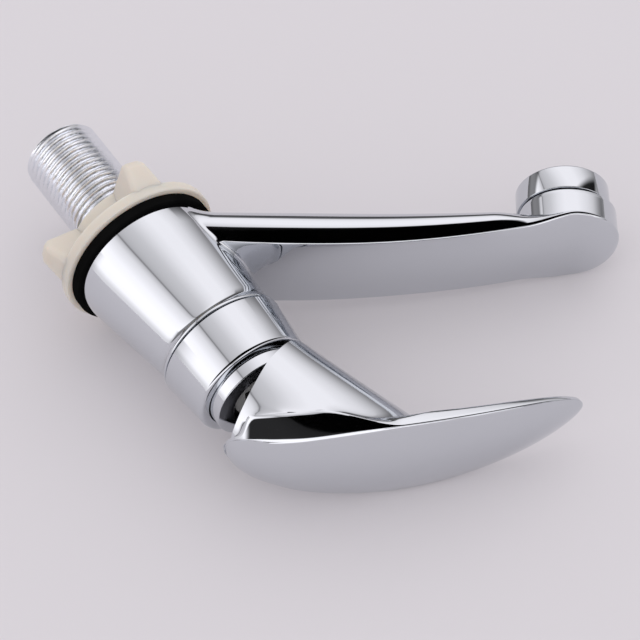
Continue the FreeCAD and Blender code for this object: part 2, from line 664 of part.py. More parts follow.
def make_spindle():
    """The lever's square spindle, with a round arm and a ball below its pivot."""
    body = new_body("lever_spindle", OFFSET, size("pivot_height"), size("spindle_lean"))
    half = size("spindle_side") / 2
    square = new_sketch(body, "square_outline", "XY_Plane", out=-size("spindle_drop"))
    draw_box(square, -half, half, -half, half)
    extrude(body, "square", square, size("spindle_drop") + size("spindle_reach"))
    tube(body, "arm", 0, size("arm_radius"), -size("arm_length"), 0)
    ball = body.newObject("PartDesign::AdditiveSphere", "ball")
    ball.AttachmentSupport = (origin_feature(body, "XY_Plane"), [""])
    ball.MapMode = "FlatFace"
    bind(ball, "Radius", size("ball_radius"))
    bind(ball, "AttachmentOffset.Base.z", -size("arm_length"))
    pin = new_sketch(body, "pin_circle", "XZ_Plane")
    draw_circle(pin, 0, 0, size("pin_radius") + size("pin_clearance"))
    extrude(body, "pin_hole", pin, 2 * size("spindle_side"), cut=True, both=True)


# Retaining nut, collar and neck ring.

def make_cartridge_nut():
    body = new_body("cartridge_nut", OFFSET)
    bottom = size("shoulder_height")
    bore = size("housing_neck_radius") + size("cartridge_clearance")
    thread_top = bottom + size("nut_thread_height")
    turn_profile(body, "nut", [
        (bore, bottom), (size("nut_thread_radius"), bottom),
        (size("nut_thread_radius"), thread_top), (size("ring_nut_radius"), thread_top),
        (size("ring_nut_radius"), RING_NUT_TOP), (bore, RING_NUT_TOP)])
    slot = new_sketch(body, "spanner_slot_outline", "XZ_Plane")
    draw_box(slot, bore - OVERCUT, size("ring_nut_radius") + OVERCUT,
             RING_NUT_TOP - size("spanner_slot_depth"), RING_NUT_TOP + OVERCUT)
    cut = extrude(body, "spanner_slot", slot, size("spanner_slot_width"), cut=True, both=True)
    repeat_round(body, "spanner_slots", cut, size("spanner_slot_count"))
    section = size("grip_ring_section") / 2 + size("ring_seal_clearance")
    groove = tube(body, "grip_groove", size("collar_bore_radius") - 2 * section,
                  size("nut_thread_radius"), GRIP_RING_HEIGHT - section,
                  GRIP_RING_HEIGHT + section, cut=True)
    body.Tip = groove


def make_grip_ring():
    """A rubber ring in the nut's groove, which grips the collar from inside."""
    body = new_body("collar_grip_ring", OFFSET)
    section = size("grip_ring_section")
    radius = size("collar_bore_radius") - size("ring_seal_clearance") - section / 2
    turn_ring(body, "ring", radius, section, GRIP_RING_HEIGHT)


def make_collar():
    """The loose trim collar, a shell that tapers to a rounded rim."""
    body = new_body("collar", OFFSET)
    bore, rim = size("collar_bore_radius"), size("collar_edge_round")
    hole = size("neck_radius") + size("neck_clearance")
    under_lip = COLLAR_TOP - size("collar_lip")
    turn_profile(body, "shell", [
        (bore, COLLAR_BOTTOM), (size("collar_base_radius"), COLLAR_BOTTOM),
        (size("collar_top_radius"), COLLAR_TOP - rim, -rim),
        (size("collar_top_radius") - rim, COLLAR_TOP), (hole, COLLAR_TOP), (hole, under_lip),
        (bore, under_lip)])


def make_neck_ring():
    """A bright ring on the nut, held down by the collar's lip through its foot."""
    body = new_body("neck_ring", OFFSET)
    inner = size("housing_neck_radius") + size("neck_clearance")
    foot = size("collar_bore_radius") - size("neck_clearance")
    top = RING_NUT_TOP + size("neck_height")
    turn_profile(body, "ring", [
        (inner, RING_NUT_TOP), (foot, RING_NUT_TOP), (foot, NECK_FOOT_TOP),
        (size("neck_radius"), NECK_FOOT_TOP), (size("neck_radius"), top), (inner, top)])


# Handle. Its top face follows two arcs that meet above the pivot. Stations are shares of the
# way from its widest place to the rear edge and to the tip.
REAR_SHARES = (0.96, 0.8, 0.55, 0.25)
FRONT_SHARES = (0.0, 0.3, 0.55, 0.78, 0.93, 0.99)
OVAL_POWER = 1.7
EDGE_TAPER_POWER = 1.6

def blade_point(along, below=0.0):
    """Reach, height and slope of the handle's top line, from where its two arcs meet."""
    front = along.value >= 0
    radius = size("blade_front_radius") if front else size("blade_rear_radius")
    slope = size("blade_join_angle") - along / radius * (180 / math.pi)
    centre_reach = radius * sine(size("blade_join_angle"))
    join_height = size("pivot_height") + size("blade_join_rise")
    centre_height = join_height - radius * cosine(size("blade_join_angle"))
    reach = centre_reach - (radius - below) * sine(slope)
    height = centre_height + (radius - below) * cosine(slope)
    return reach, height, slope


def blade_section(body, name, along, width_share, edge):
    """A section across the blade: crown, two side walls and a shallow belly."""
    reach, height, slope = blade_point(along)
    sketch = new_sketch(body, name, "YZ_Plane", up=height, out=reach, turn=-slope,
                        axis=V(1, 0, 0))
    half = size("blade_half_width") * width_share
    crown = size("blade_crown") * width_share
    belly = size("blade_belly") * width_share
    draw_outline(sketch, [(half, -edge), (half, 0, -arc_radius(half, crown)),
                          (-half, 0), (-half, -edge, -arc_radius(half, belly))])
    return sketch


def oval_share(share):
    """How wide the blade is, as a share of its widest, at a share of the way to its end."""
    return math.sqrt(1 - share ** OVAL_POWER)


def blade_sections(body):
    """Sections from the handle's rear edge over its widest place to the tip."""
    widest = size("blade_widest")
    rear, front = size("blade_rear_length") + widest, size("blade_front_length") - widest
    thick, thin = size("blade_root_edge"), size("blade_tip_edge")
    stations = [(widest - rear * share, share, thick) for share in REAR_SHARES]
    for share in FRONT_SHARES:
        edge = thin + (thick - thin) * (1 - share) ** EDGE_TAPER_POWER
        stations.append((widest + front * share, share, edge))
    return [blade_section(body, f"blade_section_{i}", along, oval_share(share), edge)
            for i, (along, share, edge) in enumerate(stations)]


def front_reach(height):
    """How far forward of the lever's axis the shell's front stands, along the set screw."""
    lean_cos, lean_sin = cosine(size("spindle_lean")), sine(size("spindle_lean"))
    start = OFFSET + size("skirt_radius")
    flare = (size("shell_front") - start) / size("shell_height")
    above = size("pivot_height") + height * lean_cos - SKIRT_BOTTOM
    along = size("skirt_radius") + flare * above - height * lean_sin
    return along / (lean_cos + flare * lean_sin)


def lever_place(height, quarter=0.0):
    """Sketch placing at a height on the lever's axis, with its upright along that axis."""
    lean = size("spindle_lean")
    return dict(across=OFFSET + height * sine(lean),
                up=size("pivot_height") + height * cosine(lean), turn=-(lean + quarter))


def make_handle():
    """Skirt and blade in one casting, hollow below over the collar's neck."""
    body = new_body("handle")
    skirt = new_sketch(body, "skirt_circle", "XY_Plane", out=SKIRT_BOTTOM)
    draw_circle(skirt, OFFSET, 0, size("skirt_radius"))
    rear = OFFSET - size("skirt_radius")
    middle, half_length = (size("shell_front") + rear) / 2, (size("shell_front") - rear) / 2
    oval = new_sketch(body, "shell_oval", "XY_Plane", out=SKIRT_BOTTOM + size("shell_height"))
    draw_ellipse(oval, middle, half_length, size("shell_half_width"))
    loft(body, "shell", [skirt, oval])

    # What stands above the top line goes, a little below the blade's crown.
    sink, past = size("crown_cover"), size("cut_overrun")
    top = SKIRT_BOTTOM + size("shell_height") + past
    join_reach, join_height, _ = blade_point(measure(0), sink)
    front_end, front_height, _ = blade_point(size("blade_front_length") / 2, sink)
    rear_end, rear_height, _ = blade_point(-size("blade_rear_length") - past, sink)
    above = new_sketch(body, "above_blade", "XZ_Plane")
    draw_outline(above, [
        (rear_end, rear_height, size("blade_rear_radius") - sink),
        (join_reach, join_height, size("blade_front_radius") - sink),
        (front_end, front_height), (front_end, top), (rear_end, top)])
    extrude(body, "above_blade_cut", above, 4 * size("skirt_radius"), cut=True, both=True)
    loft(body, "blade", blade_sections(body))

    relief = new_sketch(body, "relief_outline", "XZ_Plane")
    low, behind = size("pivot_height"), -2 * size("skirt_radius")
    corner = SKIRT_BOTTOM + size("relief_rise")
    run = size("relief_start") - behind
    draw_outline(relief, [(size("relief_start"), low), (size("relief_start"), corner),
                          (behind, corner + run * tangent(size("relief_angle"))), (behind, low)])
    extrude(body, "relief", relief, 4 * size("skirt_radius"), cut=True, both=True)
    tube(body, "cavity", 0, size("cavity_radius"), -size("cavity_height"), size("cavity_height"),
         cut=True, **lever_place(0))

    half = size("spindle_side") / 2 + size("lever_socket_clearance")
    lean = size("spindle_lean")
    socket_top = size("spindle_reach") + size("lever_socket_gap")
    socket = new_sketch(body, "socket_outline", "XY_Plane", across=OFFSET + socket_top * sine(lean),
                        out=size("pivot_height") + socket_top * cosine(lean), turn=lean,
                        axis=V(0, 1, 0))
    draw_box(socket, -half, half, -half, half)
    extrude(body, "socket", socket, socket_top, cut=True)

    face = front_reach(size("set_screw_height"))
    hole = size("set_screw_radius") + size("set_screw_clearance")
    seat = size("plug_radius") + size("plug_clearance")
    turn_profile(body, "set_screw_hole", [
        (0, 0), (hole, 0), (hole, face - size("plug_depth")), (seat, face - size("plug_depth")),
        (seat, face + past), (0, face + past)], cut=True, **lever_place(size("set_screw_height"), 90))


def new_screw_body(label):
    """A piece whose own Z runs forward along the set screw."""
    lean, height = size("spindle_lean"), size("set_screw_height")
    return new_body(label, OFFSET + height * sine(lean),
                    size("pivot_height") + height * cosine(lean), lean + 90)


def make_set_screw():
    body = new_screw_body("handle_set_screw")
    start = size("spindle_side") / 2 + size("set_screw_clearance")
    end = start + size("set_screw_length")
    radius = size("set_screw_radius")
    turn_profile(body, "screw", [
        (0, start), (size("set_screw_point_radius"), start),
        (radius, start + size("set_screw_point_height")), (radius, end), (0, end)])
    key = new_sketch(body, "key_outline", "XY_Plane", out=end)
    draw_hexagon(key, size("set_screw_key"))
    extrude(body, "key_socket", key, size("set_screw_key_depth"), cut=True)


def make_index_plug():
    """The small button that closes the set screw's hole."""
    body = new_screw_body("index_plug")
    face = front_reach(size("set_screw_height"))
    shoulder = face - size("plug_depth")
    rim = face + size("plug_proud") - size("plug_dome")
    radius, dome = size("plug_radius"), size("plug_dome")
    turn_profile(body, "button", [
        (0, shoulder - size("plug_stem_length")),
        (size("plug_stem_radius"), shoulder - size("plug_stem_length")),
        (size("plug_stem_radius"), shoulder), (radius, shoulder), (radius, rim),
        (size("plug_flat_radius"), rim + dome), (0, rim + dome)])


# Aerator, on the outlet's axis. Heights run up that axis from the spout's straight line.
# The screen has one hole in its middle, and each ring about it has a few more than the last.

def new_outlet_body(label):
    reach, height = spout_place(size("spout_length"), 0)
    return new_body(label, reach, height, -size("spout_rise"))


def make_aerator_housing():
    body = new_outlet_body("aerator_housing")
    spigot = size("outlet_bore_radius") - size("aerator_thread_gap")
    edge = size("aerator_edge_round")
    lip_top = AERATOR_END + size("aerator_lip_height")
    turn_profile(body, "shell", [
        (size("aerator_lip_radius"), AERATOR_END), (size("aerator_radius") - edge, AERATOR_END),
        (size("aerator_radius"), AERATOR_END + edge), (size("aerator_radius"), AERATOR_SHOULDER),
        (spigot, AERATOR_SHOULDER), (spigot, AERATOR_TOP), (size("aerator_bore_radius"), AERATOR_TOP),
        (size("aerator_bore_radius"), lip_top), (size("aerator_lip_radius"), lip_top)])


def make_aerator_washer():
    body = new_outlet_body("aerator_washer")
    tube(body, "washer", size("throat_radius"),
         size("outlet_bore_radius") - size("aerator_thread_gap"), AERATOR_TOP, OUTLET_SEAT)


def make_aerator_core():
    """The plastic core that breaks the stream into small jets."""
    body = new_outlet_body("aerator_core")
    bottom = AERATOR_END + size("aerator_lip_height") + size("screen_height")
    top = bottom + size("core_height")
    tube(body, "core", 0, size("aerator_bore_radius") - size("core_clearance"), bottom, top)
    tube(body, "air_space", size("core_hub_radius"), size("core_space_radius"),
         bottom - OVERCUT, bottom + size("core_space_height"), cut=True)
    jet = drill(body, "jet", size("core_hole_ring"), top + OVERCUT, size("core_hole_radius"),
                size("core_height") + 2 * OVERCUT)
    repeat_round(body, "jets", jet, size("core_hole_count"))


def make_aerator_screen():
    """A pierced disc under the core, resting on the housing's lip."""
    body = new_outlet_body("aerator_screen")
    bottom = AERATOR_END + size("aerator_lip_height")
    top = bottom + size("screen_height")
    tube(body, "disc", 0, size("aerator_bore_radius") - size("core_clearance"), bottom, top)
    sketch = new_sketch(body, "holes", "XY_Plane", out=top + OVERCUT)
    for ring in range(SIZES["screen_ring_count"]):
        around = max(1, SIZES["screen_added_hole_count"] * ring)
        for place in range(around):
            angle = 2 * math.pi * place / around
            reach = size("screen_hole_spacing") * ring
            draw_circle(sketch, reach * math.cos(angle), reach * math.sin(angle),
                        size("screen_hole_radius"))
    extrude(body, "pierced_holes", sketch, size("screen_height") + 2 * OVERCUT, cut=True)


def check_and_write():
    """Writes one file for each piece, if every object and shape is sound."""
    doc.recompute()
    faults = [thing.Name for thing in doc.Objects
              if "Invalid" in thing.State or "Error" in thing.State]
    faults += [piece.Label for piece in PIECES
               if piece.Shape.isNull() or not piece.Shape.isValid()]
    if faults:
        raise SystemExit("failed objects: " + ", ".join(faults))
    os.makedirs("parts", exist_ok=True)
    for piece in PIECES:
        piece.Shape.exportStep(f"parts/{piece.Label}.step")
        print(piece.Label, round(piece.Shape.Volume), "mm3", len(piece.Shape.Solids), "solid")


make_casting()
make_shank()
make_shank_washer()
make_gasket()
make_wing_nut()
make_port_seal("inlet_port_seal", -1)
make_port_seal("outlet_port_seal", 1)
make_cartridge_base()
make_fixed_disc()
make_moving_disc()
make_disc_carrier()
make_housing()
make_lever_guide()
make_guide_seal()
make_pivot_pin()
make_spindle()
make_cartridge_nut()
make_grip_ring()
make_collar()
make_neck_ring()
make_handle()
make_set_screw()
make_index_plug()
make_aerator_housing()
make_aerator_washer()
make_aerator_core()
make_aerator_screen()
check_and_write()
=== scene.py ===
# %% [markdown]
# # A single-lever pillar tap, lying on its side
# The tap is a cold-water pillar tap for a wash basin. Its solids come from the CAD frame, in
# metres, with +Z up along the threaded inlet and +X towards the outlet. This script gives every
# solid a finish, and makes the mirror-bright pieces again as smooth sheets, because a mirror
# shows each flat facet of a coarse mesh.

# %% Open the frame
from math import copysign, cos, exp, hypot, pi, radians, sin, sqrt, tan, tau

import bmesh
import bpy
from mathutils import Matrix, Vector


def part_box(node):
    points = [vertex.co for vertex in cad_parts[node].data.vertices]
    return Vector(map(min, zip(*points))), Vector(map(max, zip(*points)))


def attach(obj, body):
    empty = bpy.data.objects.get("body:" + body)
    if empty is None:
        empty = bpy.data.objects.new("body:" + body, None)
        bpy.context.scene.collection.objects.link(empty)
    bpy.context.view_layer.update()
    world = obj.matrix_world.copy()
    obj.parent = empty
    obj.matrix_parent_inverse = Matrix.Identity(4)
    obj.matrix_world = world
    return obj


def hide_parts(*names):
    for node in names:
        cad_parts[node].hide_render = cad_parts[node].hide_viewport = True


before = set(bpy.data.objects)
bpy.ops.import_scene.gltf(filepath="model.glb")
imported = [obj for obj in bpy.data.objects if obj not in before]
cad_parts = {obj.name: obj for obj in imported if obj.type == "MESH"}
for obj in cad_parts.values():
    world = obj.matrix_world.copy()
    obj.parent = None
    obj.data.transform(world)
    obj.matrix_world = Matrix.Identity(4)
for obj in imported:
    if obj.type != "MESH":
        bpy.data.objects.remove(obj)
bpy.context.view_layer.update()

MM, SCENE = 0.001, bpy.context.scene

# %% [markdown]
# ## Two ways to make a smooth piece
# Most of the tap was turned or cast. A turned piece is a profile spun round an axis. A cast
# piece changes its section from end to end, so a flat grid is bent into its shape: each row of
# the grid becomes one ring of the piece, and no faces have to be listed by hand.

# %% Bent sheets
WELD = 0.004


def bent_sheet(rings, close=True):
    """A grid whose rows become the given rings of points, in millimetres."""
    bm = bmesh.new()
    around, along = len(rings[0]) - (0 if close else 1), len(rings) - 1
    bmesh.ops.create_grid(bm, x_segments=around, y_segments=along, size=0.5)
    for vert in bm.verts:
        column, row = round((vert.co.x + 0.5) * around), round((vert.co.y + 0.5) * along)
        vert.co = rings[row][column % len(rings[0])]
    return bm


def weld(bm):
    """Makes one point of those that lie closer than WELD."""
    bmesh.ops.remove_doubles(bm, verts=bm.verts, dist=WELD)


def bevel(bm, edges, width, rows):
    """Rounds some edges."""
    bmesh.ops.bevel(bm, geom=edges, offset=width, offset_type="OFFSET", segments=rows,
                    profile=0.5, affect="EDGES", clamp_overlap=True, material=-1)


def spread(count):
    """Even steps from 0 to 1, both ends included."""
    return [step / count for step in range(count + 1)]


def curve(start, corner, end, share):
    """A point of the curve that leaves start towards corner and arrives at end from it."""
    start, corner, end = Vector(start), Vector(corner), Vector(end)
    return start * (1 - share) ** 2 + corner * 2 * share * (1 - share) + end * share ** 2


def ease(low, high, value):
    """0 below low, 1 above high, and a smooth rise between."""
    share = min(1.0, max(0.0, (value - low) / (high - low)))
    return share * share * (3 - 2 * share)


print("points closer than", WELD, "mm become one")

# %% [markdown]
# ## Turned pieces
# The profile is drawn in the upright plane as (radius, height) points. After the spin, every
# sharp edge gets a small bevel, which catches the thin bright line along a rim. Two more helpers
# cut an open sheet off at a level and turn its faces outwards.

# %% Spin and soften
TURNS, SHARP_TURN, BEVEL_ROWS, CREASE = 160, 32.0, 3, 40.0


def turned(profile, place=Matrix(), width=0.0):
    """Spins a closed profile once round its axis, puts it in place and bevels sharp edges."""
    bm = bmesh.new()
    verts = [bm.verts.new((radius, 0.0, height)) for radius, height in profile]
    edges = [bm.edges.new(pair) for pair in zip(verts, verts[1:] + verts[:1])]
    bmesh.ops.spin(bm, geom=verts + edges, axis=(0, 0, 1), angle=tau, steps=TURNS,
                   use_merge=True)
    weld(bm)
    bmesh.ops.dissolve_degenerate(bm, edges=bm.edges, dist=WELD)
    bmesh.ops.recalc_face_normals(bm, faces=bm.faces)
    bmesh.ops.transform(bm, matrix=place, verts=bm.verts)
    if width:
        sharp = [edge for edge in bm.edges if edge.calc_face_angle(0) > radians(SHARP_TURN)]
        bevel(bm, sharp, width, BEVEL_ROWS)
    return bm


def cut_level(bm, height, side):
    """Cuts a sheet at a height and drops what lies above it for 1, or below it for -1."""
    bmesh.ops.bisect_plane(bm, geom=[*bm.verts, *bm.edges, *bm.faces], dist=0.0001,
                           plane_co=(0, 0, height), plane_no=(0, 0, side), clear_outer=True)


def turn_outwards(bm, axis):
    """Points an open sheet's normals outwards, judged by its furthest face along an axis."""
    bmesh.ops.recalc_face_normals(bm, faces=bm.faces)
    furthest = max(bm.faces, key=lambda face: face.calc_center_median()[axis])
    if furthest.normal[axis] < 0:
        bmesh.ops.reverse_faces(bm, faces=bm.faces)


def place_mesh(bm, name, material):
    """Makes an object of a mesh, with its finish."""
    mesh = bpy.data.meshes.new(name)
    bm.to_mesh(mesh)
    bm.free()
    mesh.materials.append(material)
    thing = bpy.data.objects.new(name, mesh)
    SCENE.collection.objects.link(thing)
    return thing


def new_piece(bm, name, body, material, stands_for=()):
    """Welds the mesh, marks its creases, brings it to metres and ties it to its body."""
    weld(bm)
    bmesh.ops.dissolve_degenerate(bm, edges=bm.edges, dist=WELD)
    if all(len(edge.link_faces) == 2 for edge in bm.edges):
        bmesh.ops.recalc_face_normals(bm, faces=bm.faces)
    for face in bm.faces:
        face.smooth = True
    for edge in bm.edges:
        edge.smooth = edge.calc_face_angle(0) <= radians(CREASE)
    bmesh.ops.scale(bm, vec=(MM, MM, MM), verts=bm.verts)
    piece = place_mesh(bm, name, material)
    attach(piece, body)
    if stands_for:
        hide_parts(*stands_for)
    print(name, len(piece.data.polygons), "faces")


def plated(bm, name, *stands_for):
    """A bright piece of the tap's body."""
    new_piece(bm, name, "tap_body", CHROME, stands_for)


print("turned pieces get", TURNS, "steps a turn")

# %% [markdown]
# ## How nodes are wired
# The finishes, the floor and the room are all made of nodes. Two helpers feed a node's inputs
# from other nodes or with plain values, so each recipe below is a short list of nodes.

# %% Wire nodes
SMOOTH, COLOURS = {"interpolation_type": "SMOOTHSTEP"}, {"data_type": "RGBA"}


def feed(tree, node, *values, **named):
    """Feeds a node's inputs, in their order or by name with _ for a space."""
    pairs = [*zip(node.inputs, values)]
    pairs += [(node.inputs[name.replace("_", " ")], value) for name, value in named.items()]
    for socket, value in pairs:
        if isinstance(value, bpy.types.NodeSocket):
            tree.links.new(value, socket)
        else:
            socket.default_value = value
    return node


def wire(tree, kind, *values, output=0, setting=None, **named):
    """Adds a node with its settings, feeds it and gives back one of its outputs."""
    node = tree.nodes.new(kind)
    for name, choice in (setting or {}).items():
        setattr(node, name, choice)
    return feed(tree, node, *values, **named).outputs[output]


print("nodes are wired by name or in the order of their inputs")

# %% [markdown]
# ## What wears the same on several materials
# Handling leaves faint smears, which show on a mirror only as small changes of roughness. One
# node group makes them between the two roughness values of each material. A second group mixes
# two close tints in soft patches, as a moulded or cast surface has them.

# %% Shared node groups
SMEAR_START, SMEAR_FULL = 0.42, 0.72


def start_group(name, output, output_kind, detail, distortion=0.0, **inputs):
    """A node group with its inputs' usual values, and soft patches on the surface in it."""
    group = bpy.data.node_groups.new(name, "ShaderNodeTree")
    for title, value in inputs.items():
        kind = "NodeSocketColor" if isinstance(value, tuple) else "NodeSocketFloat"
        socket = group.interface.new_socket(name=title, in_out="INPUT", socket_type=kind)
        socket.default_value = value
    group.interface.new_socket(name=output, in_out="OUTPUT", socket_type=output_kind)
    given = group.nodes.new("NodeGroupInput").outputs
    place = wire(group, "ShaderNodeTexCoord", output="Object")
    patches = wire(group, "ShaderNodeTexNoise", place, Scale=given["Scale"], Detail=detail,
                   Distortion=distortion)
    return group, given, patches


def make_smear_group():
    """Smears: a roughness between two values, in soft patches with a few finer streaks."""
    group, given, patches = start_group("handling_smears", "Roughness", "NodeSocketFloat", 5.0,
                                        0.6, Scale=60.0, Clean=0.04, Smeared=0.1)
    rough = wire(group, "ShaderNodeMapRange", patches, SMEAR_START, SMEAR_FULL, given["Clean"],
                 given["Smeared"], setting=SMOOTH)
    feed(group, group.nodes.new("NodeGroupOutput"), rough)
    return group


def make_tint_group():
    """Tints: a colour that drifts between two close ones."""
    group, given, patches = start_group("two_tints", "Tint", "NodeSocketColor", 4.0, Scale=120.0,
                                        First=(0.5, 0.5, 0.5, 1.0), Second=(0.6, 0.6, 0.6, 1.0))
    tint = wire(group, "ShaderNodeMix", setting=COLOURS, output="Result", Factor=patches,
                A=given["First"], B=given["Second"])
    feed(group, group.nodes.new("NodeGroupOutput"), tint)
    return group


SMEARS, TINTS = make_smear_group(), make_tint_group()
print("node groups:", SMEARS.name, TINTS.name)

# %% [markdown]
# ## One recipe for all the finishes
# The finishes differ in their two tints, in how metallic and how rough they are, and in their
# grain, so one recipe builds them all. What is the same all over a surface is set on the shader
# itself. The lever is one closed piece, polished outside and left as cast in its cavity. A mesh
# attribute tells its finish where to turn dull and dark there: the dullness is the bare casting,
# the dark grey is painted shade in the hollow.

# %% The recipe
GRAIN_DEPTH, CAVITY_MARK = 0.0002, "inside"


def make_finish(name, first, second, metallic, rough, scale=120.0, grain=0.0, grain_scale=900.0,
                **constants):
    """A finish with two tints, a clean and a smeared roughness, and a fine grain if wanted."""
    material = bpy.data.materials.new(name)
    material.use_nodes = True
    tree = material.node_tree
    tint = wire(tree, "ShaderNodeGroup", setting={"node_tree": TINTS}, Scale=scale,
                First=(*first, 1.0), Second=(*second, 1.0))
    roughness = wire(tree, "ShaderNodeGroup", setting={"node_tree": SMEARS}, Scale=scale,
                     Clean=rough[0], Smeared=rough[1])
    shader = feed(tree, tree.nodes["Principled BSDF"], Base_Color=tint, Metallic=metallic,
                  Roughness=roughness, **constants)
    if grain:
        place = wire(tree, "ShaderNodeTexCoord", output="Object")
        noise = wire(tree, "ShaderNodeTexNoise", place, Scale=grain_scale, Detail=3.0)
        feed(tree, shader, Normal=wire(tree, "ShaderNodeBump", Strength=grain,
                                       Distance=GRAIN_DEPTH, Height=noise))
    return material


def dull_and_shade_inside(material, colour, rough):
    """Turns a finish dull and paints shade on it where the cavity's mesh attribute is 1."""
    tree = material.node_tree
    inside = wire(tree, "ShaderNodeAttribute", setting={"attribute_name": CAVITY_MARK},
                  output="Fac")
    # The dark colour mixed in is painted shade for the hollow, the roughness is the bare casting.
    changes = (("Base Color", "RGBA", (*colour, 1.0)), ("Roughness", "FLOAT", rough))
    for socket, kind, value in changes:
        target = tree.nodes["Principled BSDF"].inputs[socket]
        mixed = wire(tree, "ShaderNodeMix", setting={"data_type": kind}, output="Result",
                     Factor=inside, A=target.links[0].from_socket, B=value)
        tree.links.new(mixed, target)


print("the grain of a finish is up to", GRAIN_DEPTH / MM, "mm deep")

# %% [markdown]
# ## The finishes
# Chrome plate is a cool, nearly neutral metal, so its tints differ by a hair. The thread was
# plated over its tool marks and is rougher and duller. The wing nut is a creamy nylon that lets
# a little light in, and the gasket is black rubber with a dusty bloom. The rest is only seen
# from below or behind.

# %% Make the finishes
CHROME = make_finish("mirror_chrome", (0.655, 0.678, 0.71), (0.63, 0.653, 0.685), 1.0,
                     (0.025, 0.06), scale=45.0)
THREAD = make_finish("plated_thread", (0.94, 0.955, 0.99), (0.80, 0.82, 0.86), 1.0,
                     (0.10, 0.24), scale=420.0, grain=0.2, grain_scale=2600.0)
RUBBER = make_finish("black_rubber", (0.003, 0.003, 0.003), (0.008, 0.008, 0.008), 0.0,
                     (0.5, 0.75), scale=200.0, grain=0.2, grain_scale=1800.0,
                     Specular_IOR_Level=0.0)
NYLON = make_finish("ivory_nylon", (0.72, 0.67, 0.61), (0.70, 0.62, 0.53), 0.0,
                    (0.35, 0.5), scale=70.0, grain=0.05, Subsurface_Weight=0.5,
                    Subsurface_Scale=0.006, Subsurface_Radius=(1.0, 0.75, 0.55),
                    Specular_IOR_Level=0.25)
BRASS = make_finish("machined_brass", (0.70, 0.52, 0.25), (0.60, 0.43, 0.20), 1.0,
                    (0.2, 0.35), scale=160.0, grain=0.15)
STEEL = make_finish("plain_steel", (0.58, 0.58, 0.58), (0.47, 0.47, 0.48), 1.0,
                    (0.25, 0.4), scale=200.0, grain=0.15)
CARTRIDGE = make_finish("cartridge_plastic", (0.80, 0.80, 0.78), (0.72, 0.72, 0.70), 0.0,
                        (0.4, 0.55), scale=150.0, grain=0.1)
CERAMIC = make_finish("lapped_ceramic", (0.88, 0.87, 0.84), (0.80, 0.79, 0.77), 0.0,
                      (0.12, 0.25), scale=200.0)
INSERT = make_finish("aerator_plastic", (0.62, 0.64, 0.66), (0.52, 0.54, 0.56), 0.0,
                     (0.35, 0.5), scale=150.0, grain=0.1)
LEVER_CHROME = CHROME.copy()
LEVER_CHROME.name = "lever_chrome"
# The cavity's dark grey is painted shade; its dullness is the bare casting.
dull_and_shade_inside(LEVER_CHROME, colour=(0.20, 0.20, 0.21), rough=0.5)
print("finishes:", len(bpy.data.materials))

# %% [markdown]
# ## Solids that keep their CAD shape
# The seals, the cartridge, the spindle, the screw and the aerator's inside are right as they
# come from the frame. Each gets its finish.

# %% Dress the plain solids
KEPT = {
    RUBBER: ("shank_washer", "inlet_port_seal", "outlet_port_seal", "guide_seal",
             "collar_grip_ring", "aerator_washer", "base_gasket"),
    CARTRIDGE: ("cartridge_base", "disc_carrier", "cartridge_housing", "lever_guide"),
    CERAMIC: ("fixed_ceramic_disc", "moving_ceramic_disc"),
    STEEL: ("spindle_pivot_pin", "lever_spindle", "handle_set_screw"),
    BRASS: ("cartridge_nut",),
    INSERT: ("aerator_core", "aerator_screen"),
    CHROME: ("body_casting", "collar", "neck_ring", "handle", "index_plug", "aerator_housing"),
    THREAD: ("inlet_shank",),
    NYLON: ("wing_backnut",),
}
for finish, names in KEPT.items():
    for name in names:
        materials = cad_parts[name].data.materials
        materials.clear()
        materials.append(finish)
print("dressed", sum(len(names) for names in KEPT.values()), "solids")

# %% [markdown]
# ## The trunk
# The trunk leans a little: its base is centred on the inlet, its top on the cartridge, 1.8 mm
# in front. So it is a bent sheet and not a turned piece. The rings run from the socket for the
# inlet, over the underside with its recess, up the tapered outside and down into the chamber.

# %% Make the trunk
BASE_RADIUS, BASE_ROUND, TRUNK_HEIGHT, TRUNK_TOP_RADIUS = 19.25, 0.15, 31.0, 16.1
FLARE_RADIUS, CASTING_TOP, OFFSET = 17.0, 33.2, 1.8
FLARE = ((16.35, 31.5), (16.75, 32.1), (FLARE_RADIUS - 0.04, 32.5), (FLARE_RADIUS, 32.8),
         (FLARE_RADIUS - 0.1, 33.1), (FLARE_RADIUS - 0.3, CASTING_TOP))
SOCKET_RADIUS, SOCKET_TOP = 10.56, 9.5
RECESS_INNER, RECESS_OUTER, RECESS_TOP = 13.2, 16.8, 5
CHAMBER_RADIUS, CHAMBER_FLOOR, NUT_SEAT_RADIUS, NUT_SEAT = 12.6, 16.0, 14.1, 28
RING_POINTS = 144


def trunk_centre(height):
    """How far in front of the inlet's axis the trunk's middle lies."""
    return OFFSET * min(1.0, max(0.0, height / TRUNK_HEIGHT))


def trunk_radius(height):
    """The outside of the tapered trunk, below its flared top."""
    return BASE_RADIUS + (TRUNK_TOP_RADIUS - BASE_RADIUS) * height / TRUNK_HEIGHT


def level_ring(radius, height, centre):
    """A level ring of points."""
    return [(centre + radius * cos(tau * i / RING_POINTS),
             radius * sin(tau * i / RING_POINTS), height) for i in range(RING_POINTS)]


